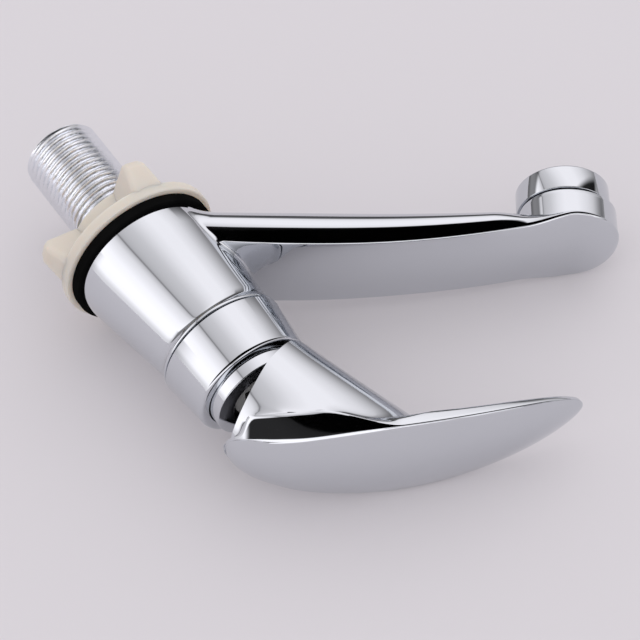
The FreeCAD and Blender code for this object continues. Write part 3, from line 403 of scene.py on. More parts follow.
def trunk_rings():
    """(radius, height, centre) of each ring, from the inlet's socket to the chamber's floor."""
    under = [(0, SOCKET_TOP), (SOCKET_RADIUS, SOCKET_TOP), (SOCKET_RADIUS, 0),
             (RECESS_INNER, 0), (RECESS_INNER, RECESS_TOP), (RECESS_OUTER, RECESS_TOP),
             (RECESS_OUTER, 0), (BASE_RADIUS - BASE_ROUND, 0.0), (BASE_RADIUS - 0.04, 0.04)]
    inside = [(NUT_SEAT_RADIUS, CASTING_TOP), (NUT_SEAT_RADIUS, NUT_SEAT),
              (CHAMBER_RADIUS, NUT_SEAT), (CHAMBER_RADIUS, CHAMBER_FLOOR), (0, CHAMBER_FLOOR)]
    rings = [(radius, height, 0.0) for radius, height in under]
    rings += [(trunk_radius(h), h, trunk_centre(h)) for h in (BASE_ROUND, 6, 12, 18, 24, 29, 30.6)]
    return rings + [(radius, height, OFFSET) for radius, height in (*FLARE, *inside)]


bm = bent_sheet([level_ring(*ring) for ring in trunk_rings()])
plated(bm, "trunk", "body_casting")

# %% [markdown]
# ## The spout
# The spout rises at 34.6 degrees along a long arc. Its section has a slightly crowned top, an
# edge, a leaning shoulder below that edge, and a round belly. The shoulder faces up and mirrors
# the dark part of the room, as one black stripe beside the white stripe of the belly.

# %% The spout's section and line
RISE = radians(34.6)
SPOUT_START, SPOUT_ROOT = Vector((24.3, 0.0, 7.4)), -11.0
ALONG = Vector((cos(RISE), 0.0, sin(RISE)))
ABOVE = Vector((-sin(RISE), 0.0, cos(RISE)))
SPOUT_LENGTH, SPOUT_BOTTOM, TIP_RADIUS, TIP_MIDDLE = 83.6, -2.1, 13.7, 1.4
EDGE_PEAK, EDGE_PEAK_AT, EDGE_ARC = 11.7, 14.7, 274.0
ROOT_HALF, WAIST_HALF, WAIST_SHARE, WIDENING_SHARE = 12.7, 11.8, 0.6, 0.86
ROOT_CROWN, CROWN_GAIN, CROWN_START = 0.9, 0.8, 40.0
SHOULDER_DROP, TIP_DROP_LOSS, SHOULDER_LEAN, SHOULDER_BEND = 0.33, 0.2, 0.36, 1.3
EDGE_ROUND, TIP_EDGE_ROUND, ROUND_LIMIT, TIP_TUCK, BELLY_FULLNESS = 0.4, 1.1, 0.2, 42.0, 0.92
TAPER_START, TAPER_END, TIP_SLOPE, TIP_BLEND = 64.0, 84.0, 0.25, 0.2


def spout_edge(along):
    """Height of the spout's two upper edges above its straight line."""
    return EDGE_PEAK - (along - EDGE_PEAK_AT) ** 2 / (2 * EDGE_ARC)


def spout_half_width(along):
    """Half the width between the edges: waisted in the middle, wide at both ends."""
    share = along / SPOUT_LENGTH
    waisted = sin(pi / 2 * min(1.0, max(0.0, share) / WAIST_SHARE)) ** 2
    widened = ease(WIDENING_SHARE, 1.0, share)
    return ROOT_HALF + (WAIST_HALF - ROOT_HALF) * waisted + (TIP_RADIUS - WAIST_HALF) * widened


def spout_crown(along):
    """The top is nearly flat at the root and fuller towards the tip."""
    return ROOT_CROWN + CROWN_GAIN * ease(CROWN_START, SPOUT_LENGTH, along)


def half_section(half, depth, crown, taper):
    """Points from the middle of the top over the edge and the shoulder to the bottom. The
    taper is 0 along the spout and 1 at its tip, where the belly tucks in under the edge."""
    rounding = min(EDGE_ROUND + (TIP_EDGE_ROUND - EDGE_ROUND) * taper,
                   half * ROUND_LIMIT, depth * ROUND_LIMIT)
    drop = depth * (SHOULDER_DROP - TIP_DROP_LOSS * taper)
    lean = drop * SHOULDER_LEAN * (1 - taper)
    tuck = radians(TIP_TUCK) * taper

    def top(share):
        return (half * share, crown * (1 - share * share))

    def shoulder(share):
        return (half + lean * (1 - (1 - share) ** SHOULDER_BEND), -drop * share)

    start, end = 1 - rounding / half, min(0.9, rounding / drop)
    points = [top(start * share) for share in spread(12)]
    points += [tuple(curve((*top(start), 0), (half, 0, 0), (*shoulder(end), 0), share)[:2])
               for share in (0.25, 0.5, 0.75)]
    points += [shoulder(end + (1 - end) * share) for share in spread(7)]
    for share in spread(18)[1:]:
        angle = tuck + (pi / 2 - tuck) * share
        fall = (sin(angle) - sin(tuck)) / (1 - sin(tuck))
        width = max(0.0, cos(angle) / cos(tuck))
        points.append(((half + lean) * width ** BELLY_FULLNESS,
                       -drop - (depth - drop) * fall ** BELLY_FULLNESS))
    return points


def spout_ring(along, edge, bottom, half, crown):
    """One ring of the spout, mirrored about its middle."""
    near = half_section(half, edge - bottom, crown, ease(TAPER_START, TAPER_END, along))
    loop = near + [(-side, up) for side, up in reversed(near[1:-1])]
    return [SPOUT_START + ALONG * along + ABOVE * (edge + up) + Vector((0, side, 0))
            for side, up in loop]


def arm_ring(along):
    """The spout's own ring at a way along it, anywhere before the rounded tip."""
    return spout_ring(along, spout_edge(along), SPOUT_BOTTOM, spout_half_width(along),
                      spout_crown(along))


print("spout rises to", round((SPOUT_START + ALONG * SPOUT_LENGTH).z, 1), "mm at its outlet")

# %% [markdown]
# ## Its rounded tip
# Beyond the outlet's axis the plan of the spout is half a circle. There the rings move on with
# the sine of an angle and shrink with its cosine, and so close in a round nose.

# %% Make the spout
ARM_RINGS, NOSE_RINGS, NOSE_CLOSED = 64, 22, 0.001


def spout_rings():
    """Rings from inside the trunk to the nose."""
    rings = [arm_ring(SPOUT_ROOT + (SPOUT_LENGTH - SPOUT_ROOT) * share)
             for share in spread(ARM_RINGS)]
    edge, crown = spout_edge(SPOUT_LENGTH), spout_crown(SPOUT_LENGTH)
    for share in spread(NOSE_RINGS)[1:]:
        angle = pi / 2 * share
        shrink = max(NOSE_CLOSED, cos(angle))
        dip = TIP_SLOPE * TIP_RADIUS * sin(angle) * exp(-sin(angle) / TIP_BLEND)
        rings.append(spout_ring(
            SPOUT_LENGTH + TIP_RADIUS * sin(angle),
            TIP_MIDDLE + (edge - TIP_MIDDLE) * shrink - dip * shrink,
            TIP_MIDDLE + (SPOUT_BOTTOM - TIP_MIDDLE) * shrink, TIP_RADIUS * shrink,
            crown * shrink))
    root = sum((Vector(point) for point in rings[0]), Vector()) / len(rings[0])
    return [[root] * len(rings[0])] + rings


bm = bent_sheet(spout_rings())
plated(bm, "spout")

# %% [markdown]
# ## The fillet between trunk and spout
# A casting has no sharp inside corners. The fillet starts on the trunk, ends on the spout and
# bends round the line where the two meet, which is where each lengthwise line of the spout
# leaves the trunk. Its size follows the section: it is middling on the top, widest on the belly,
# and tight at the shoulder and near the gasket.

# %% Make the root fillet
FILLET_SIZES = (  # between two depths below the spout's edge, the size that it changes to
    (-1.0, 0.0, 1.6), (0.5, 3.0, 0.9), (4.0, 7.5, 3.8), (9.5, 12.5, 1.2))
FILLET_STRETCH, FILLET_STEPS, FILLET_FLOOR = 1.3, 8, 0.02
SEARCH_END, SEARCH_STEPS = 30.0, 24


def fillet_size(below):
    """Size of the fillet at a depth below the spout's edge."""
    size = 0.0
    for start, end, wanted in FILLET_SIZES:
        size += (wanted - size) * ease(start, end, below)
    return size


def outside_trunk(point):
    """How far a point lies outside the trunk, below zero when it is inside."""
    reach = hypot(point.x - trunk_centre(point.z), point.y)
    return reach - trunk_radius(point.z)


def meeting(column):
    """Where one lengthwise line of the spout leaves the trunk, where the fillet ends on that
    line, and the fillet's size there."""
    low, high = SPOUT_ROOT, SEARCH_END
    for _ in range(SEARCH_STEPS):
        middle = (low + high) / 2
        inside = outside_trunk(arm_ring(middle)[column]) < 0
        low, high = (middle, high) if inside else (low, middle)
    corner = arm_ring(low)[column]
    size = fillet_size(max(0.0, spout_edge(low) - (corner - SPOUT_START).dot(ABOVE)))
    return corner, arm_ring(low + size * FILLET_STRETCH)[column], size


def on_trunk(point):
    """The nearest point of the trunk's outside."""
    centre = Vector((trunk_centre(point.z), 0, point.z))
    return centre + (point - centre).normalized() * trunk_radius(point.z)


def fillet_rings():
    """Rings of the fillet, from the trunk to the spout."""
    columns = len(arm_ring(0))
    corners, ends, sizes = zip(*(meeting(column) for column in range(columns)))
    middle = sum(corners, Vector()) / columns
    starts = [on_trunk(corner + (corner - middle).normalized() * size)
              for corner, size in zip(corners, sizes)]
    return [[curve(start, corner, end, share) for start, corner, end in zip(starts, corners, ends)]
            for share in spread(FILLET_STEPS)]


bm = bent_sheet(fillet_rings())
weld(bm)
cut_level(bm, FILLET_FLOOR, -1)
turn_outwards(bm, 2)
plated(bm, "root_fillet")

# %% [markdown]
# ## The outlet
# Under the tip stands a short boss with the same axis as the tip's round plan, square to the
# spout's line. Its wall is upright at the nose, where it is as wide as the tip, and steps in
# at the sides. The aerator's bright ring screws into it, with a fine groove between the two.

# %% Make the outlet boss and the aerator ring
OUTLET = Matrix.Translation(SPOUT_START + ALONG * SPOUT_LENGTH) @ Matrix.Rotation(-RISE, 4, "Y")
BOSS_RADIUS, BOSS_END, SEAT, BORE, THROAT = 11.8, -6.4, -0.6, 10.6, 7.6
NOSE_RADIUS, BOSS_TOP, BOSS_ROUND, BOSS_ROUND_STEPS, BOSS_WALL_STEPS = 13.6, 1.3, 0.35, 4, 8
AERATOR_RADIUS, AERATOR_TOP, AERATOR_END = 12.2, -6.7, -14.1
SLEEVE_RADIUS, SLEEVE_BORE, SLEEVE_TOP = 10.4, 9.5, -2.0
MOUTH_RADIUS, MOUTH_TOP = 8.5, AERATOR_END + 1.0


def boss_ring(side, nose, height):
    """A ring about the outlet's axis: one radius at the sides and the back, one at the nose."""
    ring = []
    for i in range(RING_POINTS):
        angle = tau * i / RING_POINTS
        reach = nose if cos(angle) > 0 else side
        ring.append((reach * cos(angle), side * sin(angle), height))
    return ring


def boss_rings():
    """Rings of the boss: up its inside, over its end and up its outside."""
    rings = [boss_ring(r, r, h) for r, h in ((THROAT, BOSS_TOP), (THROAT, SEAT), (BORE, SEAT),
                                             (BORE, BOSS_END))]
    for share in spread(BOSS_ROUND_STEPS):
        angle = pi / 2 * share
        inset, rise = BOSS_ROUND * (1 - sin(angle)), BOSS_ROUND * (1 - cos(angle))
        rings.append(boss_ring(BOSS_RADIUS - inset, NOSE_RADIUS - inset, BOSS_END + rise))
    for share in spread(BOSS_WALL_STEPS)[1:]:
        height = BOSS_END + BOSS_ROUND + (BOSS_TOP - BOSS_END - BOSS_ROUND) * share
        rings.append(boss_ring(BOSS_RADIUS, NOSE_RADIUS, height))
    return rings + [boss_ring(THROAT, THROAT, BOSS_TOP)]


bm = bent_sheet(boss_rings())
weld(bm)
bmesh.ops.transform(bm, matrix=OUTLET, verts=bm.verts)
plated(bm, "outlet_boss")

bm = turned([(MOUTH_RADIUS, AERATOR_END), (AERATOR_RADIUS - 0.7, AERATOR_END),
             (AERATOR_RADIUS - 0.35, AERATOR_END + 0.3), (AERATOR_RADIUS, AERATOR_END + 0.7),
             (AERATOR_RADIUS, AERATOR_TOP), (SLEEVE_RADIUS, AERATOR_TOP),
             (SLEEVE_RADIUS, SLEEVE_TOP), (SLEEVE_BORE, SLEEVE_TOP), (SLEEVE_BORE, MOUTH_TOP),
             (MOUTH_RADIUS, MOUTH_TOP)], OUTLET, width=0.18)
plated(bm, "aerator_ring", "aerator_housing")

# %% [markdown]
# ## Gasket and wing nut
# The gasket is a plain ring. The nut is moulded: a thin round flange, a hub, and four wings for
# the fingers. A wing starts as one flat face, is given its thickness, thins towards its outer
# edge, flares towards the flange and is rounded on all edges. Then it is copied round the hub
# in quarter turns.

# %% Make the gasket and the nut
NUT_TOP, NUT_BOTTOM, FLANGE_BOTTOM, WING_BOTTOM = -2.6, -13.8, -5.6, -14.8
HUB_RADIUS, FLANGE_OUTER, NUT_BORE = 13.6, 21.8, 10.6
GASKET_BORE, GASKET_RADIUS = 10.78, 20.4
WING_ROOT, WING_FOOT, WING_REACH, WING_SHOULDER = HUB_RADIUS - 2.2, 21.8, 23.5, 21.2
WING_TOP, WING_CORNER = FLANGE_BOTTOM + 2.4, WING_BOTTOM + 2.6
WING_THICK, WING_THIN, WING_THIN_REACH, WING_FLARE = 7.2, 5.0, 23.0, 0.85
WING_ROUND, WING_TURN = 1.6, 75.0

bm = turned([(GASKET_BORE, NUT_TOP), (GASKET_RADIUS, NUT_TOP), (GASKET_RADIUS, 0.0),
             (GASKET_BORE, 0.0)], width=0.3)
new_piece(bm, "gasket_ring", "gasket", RUBBER, ["base_gasket"])


def make_wing(bm):
    """One wing, standing out along +X."""
    outline = [(WING_ROOT, WING_BOTTOM), (WING_FOOT, WING_BOTTOM), (WING_REACH, WING_CORNER),
               (WING_SHOULDER, WING_TOP), (WING_ROOT, WING_TOP)]
    verts = [bm.verts.new((reach, -0.5, height)) for reach, height in outline]
    face = bm.faces.new(verts)
    grown = bmesh.ops.extrude_face_region(bm, geom=[face])["geom"]
    far = [item for item in grown if isinstance(item, bmesh.types.BMVert)]
    bmesh.ops.translate(bm, vec=(0, 1.0, 0), verts=far)
    wing = verts + far
    for vert in wing:
        out = ease(HUB_RADIUS, WING_THIN_REACH, vert.co.x)
        flare = 1 + WING_FLARE * ease(WING_BOTTOM, FLANGE_BOTTOM, vert.co.z)
        vert.co.y *= (WING_THICK + (WING_THIN - WING_THICK) * out) * flare
    bmesh.ops.recalc_face_normals(bm, faces=bm.faces)
    edges = {edge for vert in wing for edge in vert.link_edges}
    bevel(bm, list(edges), WING_ROUND, 8)


bm = bmesh.new()
make_wing(bm)
bmesh.ops.rotate(bm, matrix=Matrix.Rotation(radians(WING_TURN), 3, "Z"), verts=bm.verts)
first_wing = [*bm.verts, *bm.edges, *bm.faces]
for quarter in (1, 2, 3):
    copy = bmesh.ops.duplicate(bm, geom=first_wing)["geom"]
    bmesh.ops.rotate(bm, matrix=Matrix.Rotation(quarter * pi / 2, 3, "Z"),
                     verts=[item for item in copy if isinstance(item, bmesh.types.BMVert)])
new_piece(bm, "nut_wings", "backnut", NYLON)

bm = turned([(NUT_BORE, NUT_BOTTOM), (HUB_RADIUS, NUT_BOTTOM), (HUB_RADIUS, FLANGE_BOTTOM),
             (FLANGE_OUTER, FLANGE_BOTTOM), (FLANGE_OUTER, NUT_TOP), (NUT_BORE, NUT_TOP)],
            width=0.45)
new_piece(bm, "nut_flange", "backnut", NYLON, ["wing_backnut"])

# %% [markdown]
# ## The threaded inlet
# A screw thread is a sheet wound round a rod: after one turn each row of the sheet has climbed
# by one pitch and meets the row that started eight rows above it. The rows follow the crests
# and the roots, so the thread stays crisp with few faces. The long sheet is then cut flat at
# both ends, and the end of the pipe is closed by a turned ring.

# %% Make the thread
CREST, THREAD_DEPTH, PITCH = 10.4775, 1.16, 1.814
SHANK_END, SHANK_BORE, END_BEVEL = -42.5, 7.4, 0.6
THREAD_TOP, THREAD_TURNS, THREAD_POINTS, THREAD_LEAD = 0.5, 26, 96, 1.5
PIPE_TOP, PIPE_RADIUS = 8.0, CREST - THREAD_DEPTH - 0.05
THREAD_ROWS = ((0.0, 0.0), (0.06, 0.0), (0.14, 0.12), (0.30, 0.62), (0.46, 0.97), (0.54, 0.97),
               (0.70, 0.62), (0.86, 0.12))


def thread_rings():
    """Rows of the wound sheet, from one and a half pitches below the pipe's end upwards."""
    rings = []
    for turn in range(THREAD_TURNS):
        for rise, depth in THREAD_ROWS:
            ring = []
            for share in spread(THREAD_POINTS):
                height = SHANK_END + PITCH * (turn - THREAD_LEAD + rise + share)
                radius = min(CREST - THREAD_DEPTH * depth,
                             CREST - END_BEVEL + max(0.0, height - SHANK_END))
                angle = tau * share
                ring.append((radius * cos(angle), radius * sin(angle), height))
            rings.append(ring)
    return rings


bm = bent_sheet(thread_rings(), close=False)
weld(bm)
cut_level(bm, SHANK_END, -1)
cut_level(bm, THREAD_TOP, 1)
turn_outwards(bm, 0)
new_piece(bm, "inlet_thread", "tap_body", THREAD, ["inlet_shank"])

bm = turned([(SHANK_BORE, SHANK_END), (CREST - END_BEVEL + 0.05, SHANK_END),
             (PIPE_RADIUS, SHANK_END + 0.5), (PIPE_RADIUS, PIPE_TOP), (SHANK_BORE, PIPE_TOP)],
            width=0.12)
new_piece(bm, "inlet_pipe", "tap_body", THREAD)

# %% [markdown]
# ## Collar and neck ring
# The collar is a thin cup that tapers towards a rounded rim. It hides the cartridge nut. Out of
# its middle stands the neck ring, and the lever's skirt floats one millimetre above the rim.

# %% Make the collar and the neck ring
COLLAR_BOTTOM, COLLAR_TOP, COLLAR_BASE, COLLAR_RIM = 33.6, 47.4, 17.1, 15.8
COLLAR_BORE, COLLAR_MOUTH, COLLAR_ROOF, RIM_ROUND = 14.4, 13.3, COLLAR_TOP - 2.0, 1.2
NECK_RADIUS, NECK_BOTTOM, NECK_TOP, NECK_HOLE = 13.0, 44.6, 51.0, 8.2
NECK_BORE, NECK_FOOT, NECK_FOOT_TOP, NECK_LIP = 10.7, 14.1, 45.2, NECK_TOP - 0.8
ON_AXIS = Matrix.Translation((OFFSET, 0, 0))

rim = [curve((COLLAR_RIM, 0, COLLAR_TOP - RIM_ROUND), (COLLAR_RIM, 0, COLLAR_TOP),
             (COLLAR_RIM - RIM_ROUND, 0, COLLAR_TOP), share) for share in spread(8)]
bm = turned([(COLLAR_BORE, COLLAR_BOTTOM), (COLLAR_BASE, COLLAR_BOTTOM),
             *((point.x, point.z) for point in rim), (COLLAR_MOUTH, COLLAR_TOP),
             (COLLAR_MOUTH, COLLAR_ROOF), (COLLAR_BORE, COLLAR_ROOF)], ON_AXIS, width=0.15)
plated(bm, "collar_cup", "collar")

bm = turned([(NECK_BORE, NECK_BOTTOM), (NECK_FOOT, NECK_BOTTOM), (NECK_FOOT, NECK_FOOT_TOP),
             (NECK_RADIUS, NECK_FOOT_TOP), (NECK_RADIUS, NECK_TOP), (NECK_HOLE, NECK_TOP),
             (NECK_HOLE, NECK_LIP), (NECK_BORE, NECK_LIP)], ON_AXIS, width=0.3)
plated(bm, "neck_band", "neck_ring")

# %% [markdown]
# ## The lever's shape
# Seen from above, the lever is a long leaf. Below it hangs a boss whose wall widens upwards and
# flares out under the leaf. Every ring of it runs once round, and one angle stands for the same
# side on all of them. The leaf's outline is half an oval in front and half a shorter one behind,
# and it follows two arcs that meet above the spindle.

# %% Lines of the lever
JOIN_HEIGHT, JOIN_SLOPE = 74.3, radians(33.0)
FRONT_ARC, FRONT_LENGTH, REAR_ARC, REAR_LENGTH = 153.0, 69.5, 42.0, 21.0
STEEPEST, WIDEST, LEAF_HALF, OVAL_POWER = 0.97, 21.5, 15.0, 2 / 1.7
REAR_BLUNT, BLUNT_CHANGE = 0.25, (6.0, 18.0)
SKIRT_RADIUS, SKIRT_BOTTOM, SHELL_HEIGHT = 16.2, 48.4, 37.6
SHELL_FRONT, SHELL_HALF = 30.6, 11.2


def leaf_line(along):
    """Place and slope of the leaf's middle line, at a way along it from where the arcs meet."""
    radius = FRONT_ARC if along >= 0 else REAR_ARC
    slope = JOIN_SLOPE - along / radius
    reach = radius * (sin(JOIN_SLOPE) - sin(slope))
    height = JOIN_HEIGHT - radius * (cos(JOIN_SLOPE) - cos(slope))
    return Vector((reach, 0, height)), slope


def leaf_height(reach):
    """Height of the middle line above a reach."""
    radius = FRONT_ARC if reach >= 0 else REAR_ARC
    sine = min(STEEPEST, sin(JOIN_SLOPE) - reach / radius)
    return JOIN_HEIGHT - radius * (cos(JOIN_SLOPE) - sqrt(1 - sine * sine))


def leaf_place(angle):
    """Way along the leaf and half width at an angle round it."""
    share = abs(cos(angle)) ** OVAL_POWER
    along = WIDEST + share * (FRONT_LENGTH - WIDEST if cos(angle) > 0
                              else -REAR_LENGTH - WIDEST)
    blunt = 1 - REAR_BLUNT * ease(*BLUNT_CHANGE, -along)
    return along, copysign(LEAF_HALF * abs(sin(angle)) ** blunt, sin(angle))


def wall_point(angle, height):
    """A point of the boss's wall: a round skirt below that widens into an oval above."""
    share = (height - SKIRT_BOTTOM) / SHELL_HEIGHT
    rear = OFFSET - SKIRT_RADIUS
    front = OFFSET + SKIRT_RADIUS + (SHELL_FRONT - OFFSET - SKIRT_RADIUS) * share
    half = SKIRT_RADIUS + (SHELL_HALF - SKIRT_RADIUS) * share
    return Vector(((front + rear) / 2 + (front - rear) / 2 * cos(angle),
                   half * sin(angle), height))


tip, _ = leaf_line(FRONT_LENGTH)
print("the leaf's tip is at", round(tip.x, 1), round(tip.z, 1), "mm")

# %% [markdown]
# ## The lever's side
# Between the leaf's edge and its widest line lies a leaning band, tall above the boss and gone
# halfway to the tip. Like the spout's shoulder it mirrors the dark side of the room. Below the
# widest line the wall turns under, and a wide fillet carries it into the boss. The skirt under
# the boss is cut away behind, which is what lets the lever tip back.

# %% Heights of the lever's side
BAND_LEAST, BAND_HEIGHT, BAND_RISE, BAND_FALL = 0.25, 6.0, (-12.6, -7.6), (4.0, 20.0)
BAND_LEAN, REAR_LEAN, LEAN_CHANGE = 0.46, 0.30, (-8.0, 4.0)
WALL_LOW, WALL_HIGH, WALL_RISE, WALL_FALL_START = 0.8, 3.4, (12.0, 30.0), 26.0
RELIEF_START, RELIEF_BOTTOM, RELIEF_SLOPE = 2.3, 52.1, tan(radians(26.0))
RISE_START = 12.5


def band_height(reach):
    """Height of the leaning band at a reach."""
    return BAND_LEAST + BAND_HEIGHT * ease(*BAND_RISE, reach) * (1 - ease(*BAND_FALL, reach))


def band_lean(reach):
    """How far the band leans out for each millimetre down: more behind than in front."""
    return BAND_LEAN + REAR_LEAN * (1 - ease(*LEAN_CHANGE, reach))


def wall_height(reach):
    """Height of the upright wall under the band, tallest in front of the boss."""
    taper = max(0.0, min(1.0, (tip.x - reach) / (tip.x - WALL_FALL_START)))
    return WALL_LOW + (WALL_HIGH - WALL_LOW) * ease(*WALL_RISE, reach) * taper


def under_height(reach):
    """Height of the leaf's lower edge above a reach."""
    return leaf_height(reach) - band_height(reach) - wall_height(reach)


def skirt_height(reach):
    """Height of the skirt's lower edge: level in front, rising gently at the side, and cut
    away on a steeper slope behind."""
    if reach > RELIEF_START:
        share = max(0.0, (RISE_START - reach) / (RISE_START - RELIEF_START))
        return SKIRT_BOTTOM + (RELIEF_BOTTOM - SKIRT_BOTTOM) * share
    return RELIEF_BOTTOM + (RELIEF_START - reach) * RELIEF_SLOPE


print("the band is", round(band_height(0.0), 1), "mm tall above the spindle")

# %% [markdown]
# ## The lever as one sheet
# Each upright strip of the lever starts in the middle of the cavity's roof. It runs down to the
# skirt's foot, up the boss, round the fillet, up the wall and the band, and over the slightly
# rounded edge to the middle line of the crowned leaf. The rings of the cavity carry the mark
# that makes the finish dull and paints shade on it.

# %% Make the lever
CAVITY_RADIUS, CAVITY_TOP, LIP_DROP, INSIDE_RINGS = 14.2, 56.6, 8.0, 4
LEAST_SKIRT, LEAST_WALL, LEAST_CORNER, LEAST_START, LEAST_BAND = 1.0, 0.3, 0.2, 0.1, 0.6
BOSS_FILLET, FILLET_SHARE, WALL_TUCK, BAND_BULGE = 8.0, 0.9, 0.15, 0.05
LEAF_ROUND, LEAF_CROWN = 0.3, 3.0
CROWN_SHARES = (0.985, 0.93, 0.85, 0.75, 0.62, 0.5, 0.37, 0.25, 0.12, 0.0)
LEVER_POINTS = 200


def cavity_points(angle, foot):
    """From the middle of the cavity's roof to the inner lip of the skirt."""
    points = [Vector((OFFSET, 0, CAVITY_TOP))]
    for radius in (CAVITY_RADIUS / 2, CAVITY_RADIUS):
        spot = Vector((OFFSET + radius * cos(angle), radius * sin(angle), 0))
        spot.z = max(CAVITY_TOP, skirt_height(spot.x))
        points.append(spot)
    lip = Vector((spot.x, spot.y, min(skirt_height(spot.x), foot.z + LIP_DROP)))
    return points + [lip]


def side_points(angle, edge, foot):
    """From the skirt's foot up the boss and the wall to just below the leaf's edge."""
    out = sin(angle)
    band, wall = band_height(edge.x), wall_height(edge.x)
    wide = edge + Vector((0, band_lean(edge.x) * band * out, -band))
    low = wide - Vector((0, WALL_TUCK * wall * out, wall))
    low.z, wide.z = max(low.z, foot.z + LEAST_WALL), max(wide.z, foot.z + LEAST_BAND)
    height = low.z
    for _ in range(12):
        height = max(foot.z + LEAST_CORNER, under_height(wall_point(angle, height).x))
    corner = wall_point(angle, height)
    start = wall_point(angle, max(foot.z + LEAST_START, height - BOSS_FILLET))
    end = corner.lerp(low, min(FILLET_SHARE, BOSS_FILLET / max((low - corner).length, 0.01)))
    boss = [wall_point(angle, foot.z + (start.z - foot.z) * share) for share in spread(5)]
    fillet = [curve(start, corner, end, share) for share in spread(10)[1:]]
    under = [end.lerp(low, share) for share in (0.35, 0.7, 0.93)]
    turn = [curve(under[-1], low, low.lerp(wide, 0.3), share) for share in (0.5, 1.0)]
    bulge = wide.lerp(edge, 0.5) + Vector((0, BAND_BULGE * band * out, 0))
    face = [curve(wide, bulge, edge, share) for share in spread(8)[:-1]]
    return boss + fillet + under + turn + [low.lerp(wide, 0.75)] + face


def crown_points(middle, slope, half, below):
    """From the point below the leaf's edge round that edge and over the crown to its middle."""
    edge = middle + Vector((0, half, 0))
    rounding = min(1.0, LEAF_ROUND / max(abs(half), 0.01))
    inside = middle + Vector((0, half * (1 - rounding), 0))
    points = [curve(below.lerp(edge, 0.5), edge, inside, share) for share in (0.33, 0.66)]
    rise = Vector((-sin(slope), 0, cos(slope))) * (LEAF_CROWN * abs(half) / LEAF_HALF)
    return points + [middle + Vector((0, half * share, 0)) + rise * (1 - share ** 2)
                     for share in CROWN_SHARES]


def lever_column(angle):
    """One upright strip of the lever."""
    along, half = leaf_place(angle)
    middle, slope = leaf_line(along)
    edge, foot = middle + Vector((0, half, 0)), wall_point(angle, SKIRT_BOTTOM)
    foot.z = min(skirt_height(foot.x), edge.z - LEAST_SKIRT)
    side = side_points(angle, edge, foot)
    return cavity_points(angle, foot) + side + crown_points(middle, slope, half, side[-1])


columns = [lever_column(tau * (i + 0.5) / LEVER_POINTS) for i in range(LEVER_POINTS)]
bm = bent_sheet(list(zip(*columns)))
# The cavity's rings are marked for a dull finish with painted shade.
dull_shade_layer = bm.verts.layers.float.new(CAVITY_MARK)
for number, vert in enumerate(bm.verts):
    vert[dull_shade_layer] = number // (LEVER_POINTS + 1) < INSIDE_RINGS
new_piece(bm, "lever_shell", "lever", LEVER_CHROME, ["handle"])

# %% [markdown]
# ## The index button
# A small domed button closes the screw's hole in the front of the boss. The screw lies square
# to the spindle, which leans forward by 12.5 degrees, so the button looks a little downwards.

# %% Make the button
SPINDLE_LEAN = radians(12.5)
button_low, button_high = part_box("index_plug")
SCREW_FOOT = Vector((5.44, 0.0, 62.40))
SCREW = Matrix.Translation(SCREW_FOOT) @ Matrix.Rotation(SPINDLE_LEAN + pi / 2, 4, "Y")
BUTTON_RADIUS, BUTTON_FACE, BUTTON_DOME, BUTTON_BACK = 2.8, 16.9, 0.6, 14.9
STEM_RADIUS, STEM_END = 2.2, 11.9

dome = [(BUTTON_RADIUS * sin(pi / 2 * share),
         BUTTON_FACE - BUTTON_DOME * (1 - cos(pi / 2 * share))) for share in spread(8)]
bm = turned([*dome, (BUTTON_RADIUS, BUTTON_BACK), (STEM_RADIUS, BUTTON_BACK),
             (STEM_RADIUS, STEM_END), (0.0, STEM_END)], SCREW)
new_piece(bm, "index_button", "lever", CHROME, ["index_plug"])
print("button from", [round(v / MM, 1) for v in button_low], "to",
      [round(v / MM, 1) for v in button_high])

# %% [markdown]
# ## Floor
# The tap lies on its side on a pale sheet. It rests on the nut's flange, on the leaf's edge and
# on the spout's tip, so the sheet is tilted by a few degrees in the tap's own frame. It glows a
# little with painted light of its own, which lightens the shadows the tap drops on it. From below
# it is clear, so it never hides the tap.

# %% Make the floor
FLOOR_NORMAL = Vector((-0.047, 1.0, -0.0585)).normalized()
FLOOR_POINT, FLOOR_REACH = Vector((0.0, -22.2, -8.0)), 3.0
SHEET_COLOUR, PAINTED_SHEET_GLOW = (0.574, 0.545, 0.569, 1.0), (0.718, 0.682, 0.712, 1.0)

material = bpy.data.materials.new("pale_sheet")
material.use_nodes = True
tree = material.node_tree
# The emission is painted light that lifts the shadows on the sheet; the base colour is lower so
# the open sheet keeps its brightness.
sheet = feed(tree, tree.nodes["Principled BSDF"], Base_Color=SHEET_COLOUR, Roughness=0.6,
             Specular_IOR_Level=0.2, Emission_Color=PAINTED_SHEET_GLOW, Emission_Strength=0.2)
clear = wire(tree, "ShaderNodeBsdfTransparent")
below = wire(tree, "ShaderNodeNewGeometry", output="Backfacing")
seen = wire(tree, "ShaderNodeMixShader", below, sheet.outputs["BSDF"], clear)
feed(tree, tree.nodes["Material Output"], Surface=seen)
bm = bmesh.new()
bmesh.ops.create_grid(bm, x_segments=1, y_segments=1, size=FLOOR_REACH)
turn = Vector((0, 0, 1)).rotation_difference(FLOOR_NORMAL).to_matrix().to_4x4()
bmesh.ops.transform(bm, matrix=Matrix.Translation(FLOOR_POINT * MM) @ turn, verts=bm.verts)
floor = place_mesh(bm, "floor_sheet", material)
print("floor normal:", [round(v, 3) for v in floor.data.polygons[0].normal])

# %% [markdown]
# ## The studio
# A mirror shows the room, so the room is the finish. It is drawn in the world by direction: a
# long white light low on the left, a softer one overhead on the right, a thin dark gap between
# them, and a round dark zone about the place where the photographer stands. That zone goes on
# over the lever's side of the room, and low down beyond the inlet's end the light is dim.
# Angles go round the tap's axis, from the spout's side over the top. Past the floor the camera
# sees plain pale grey.

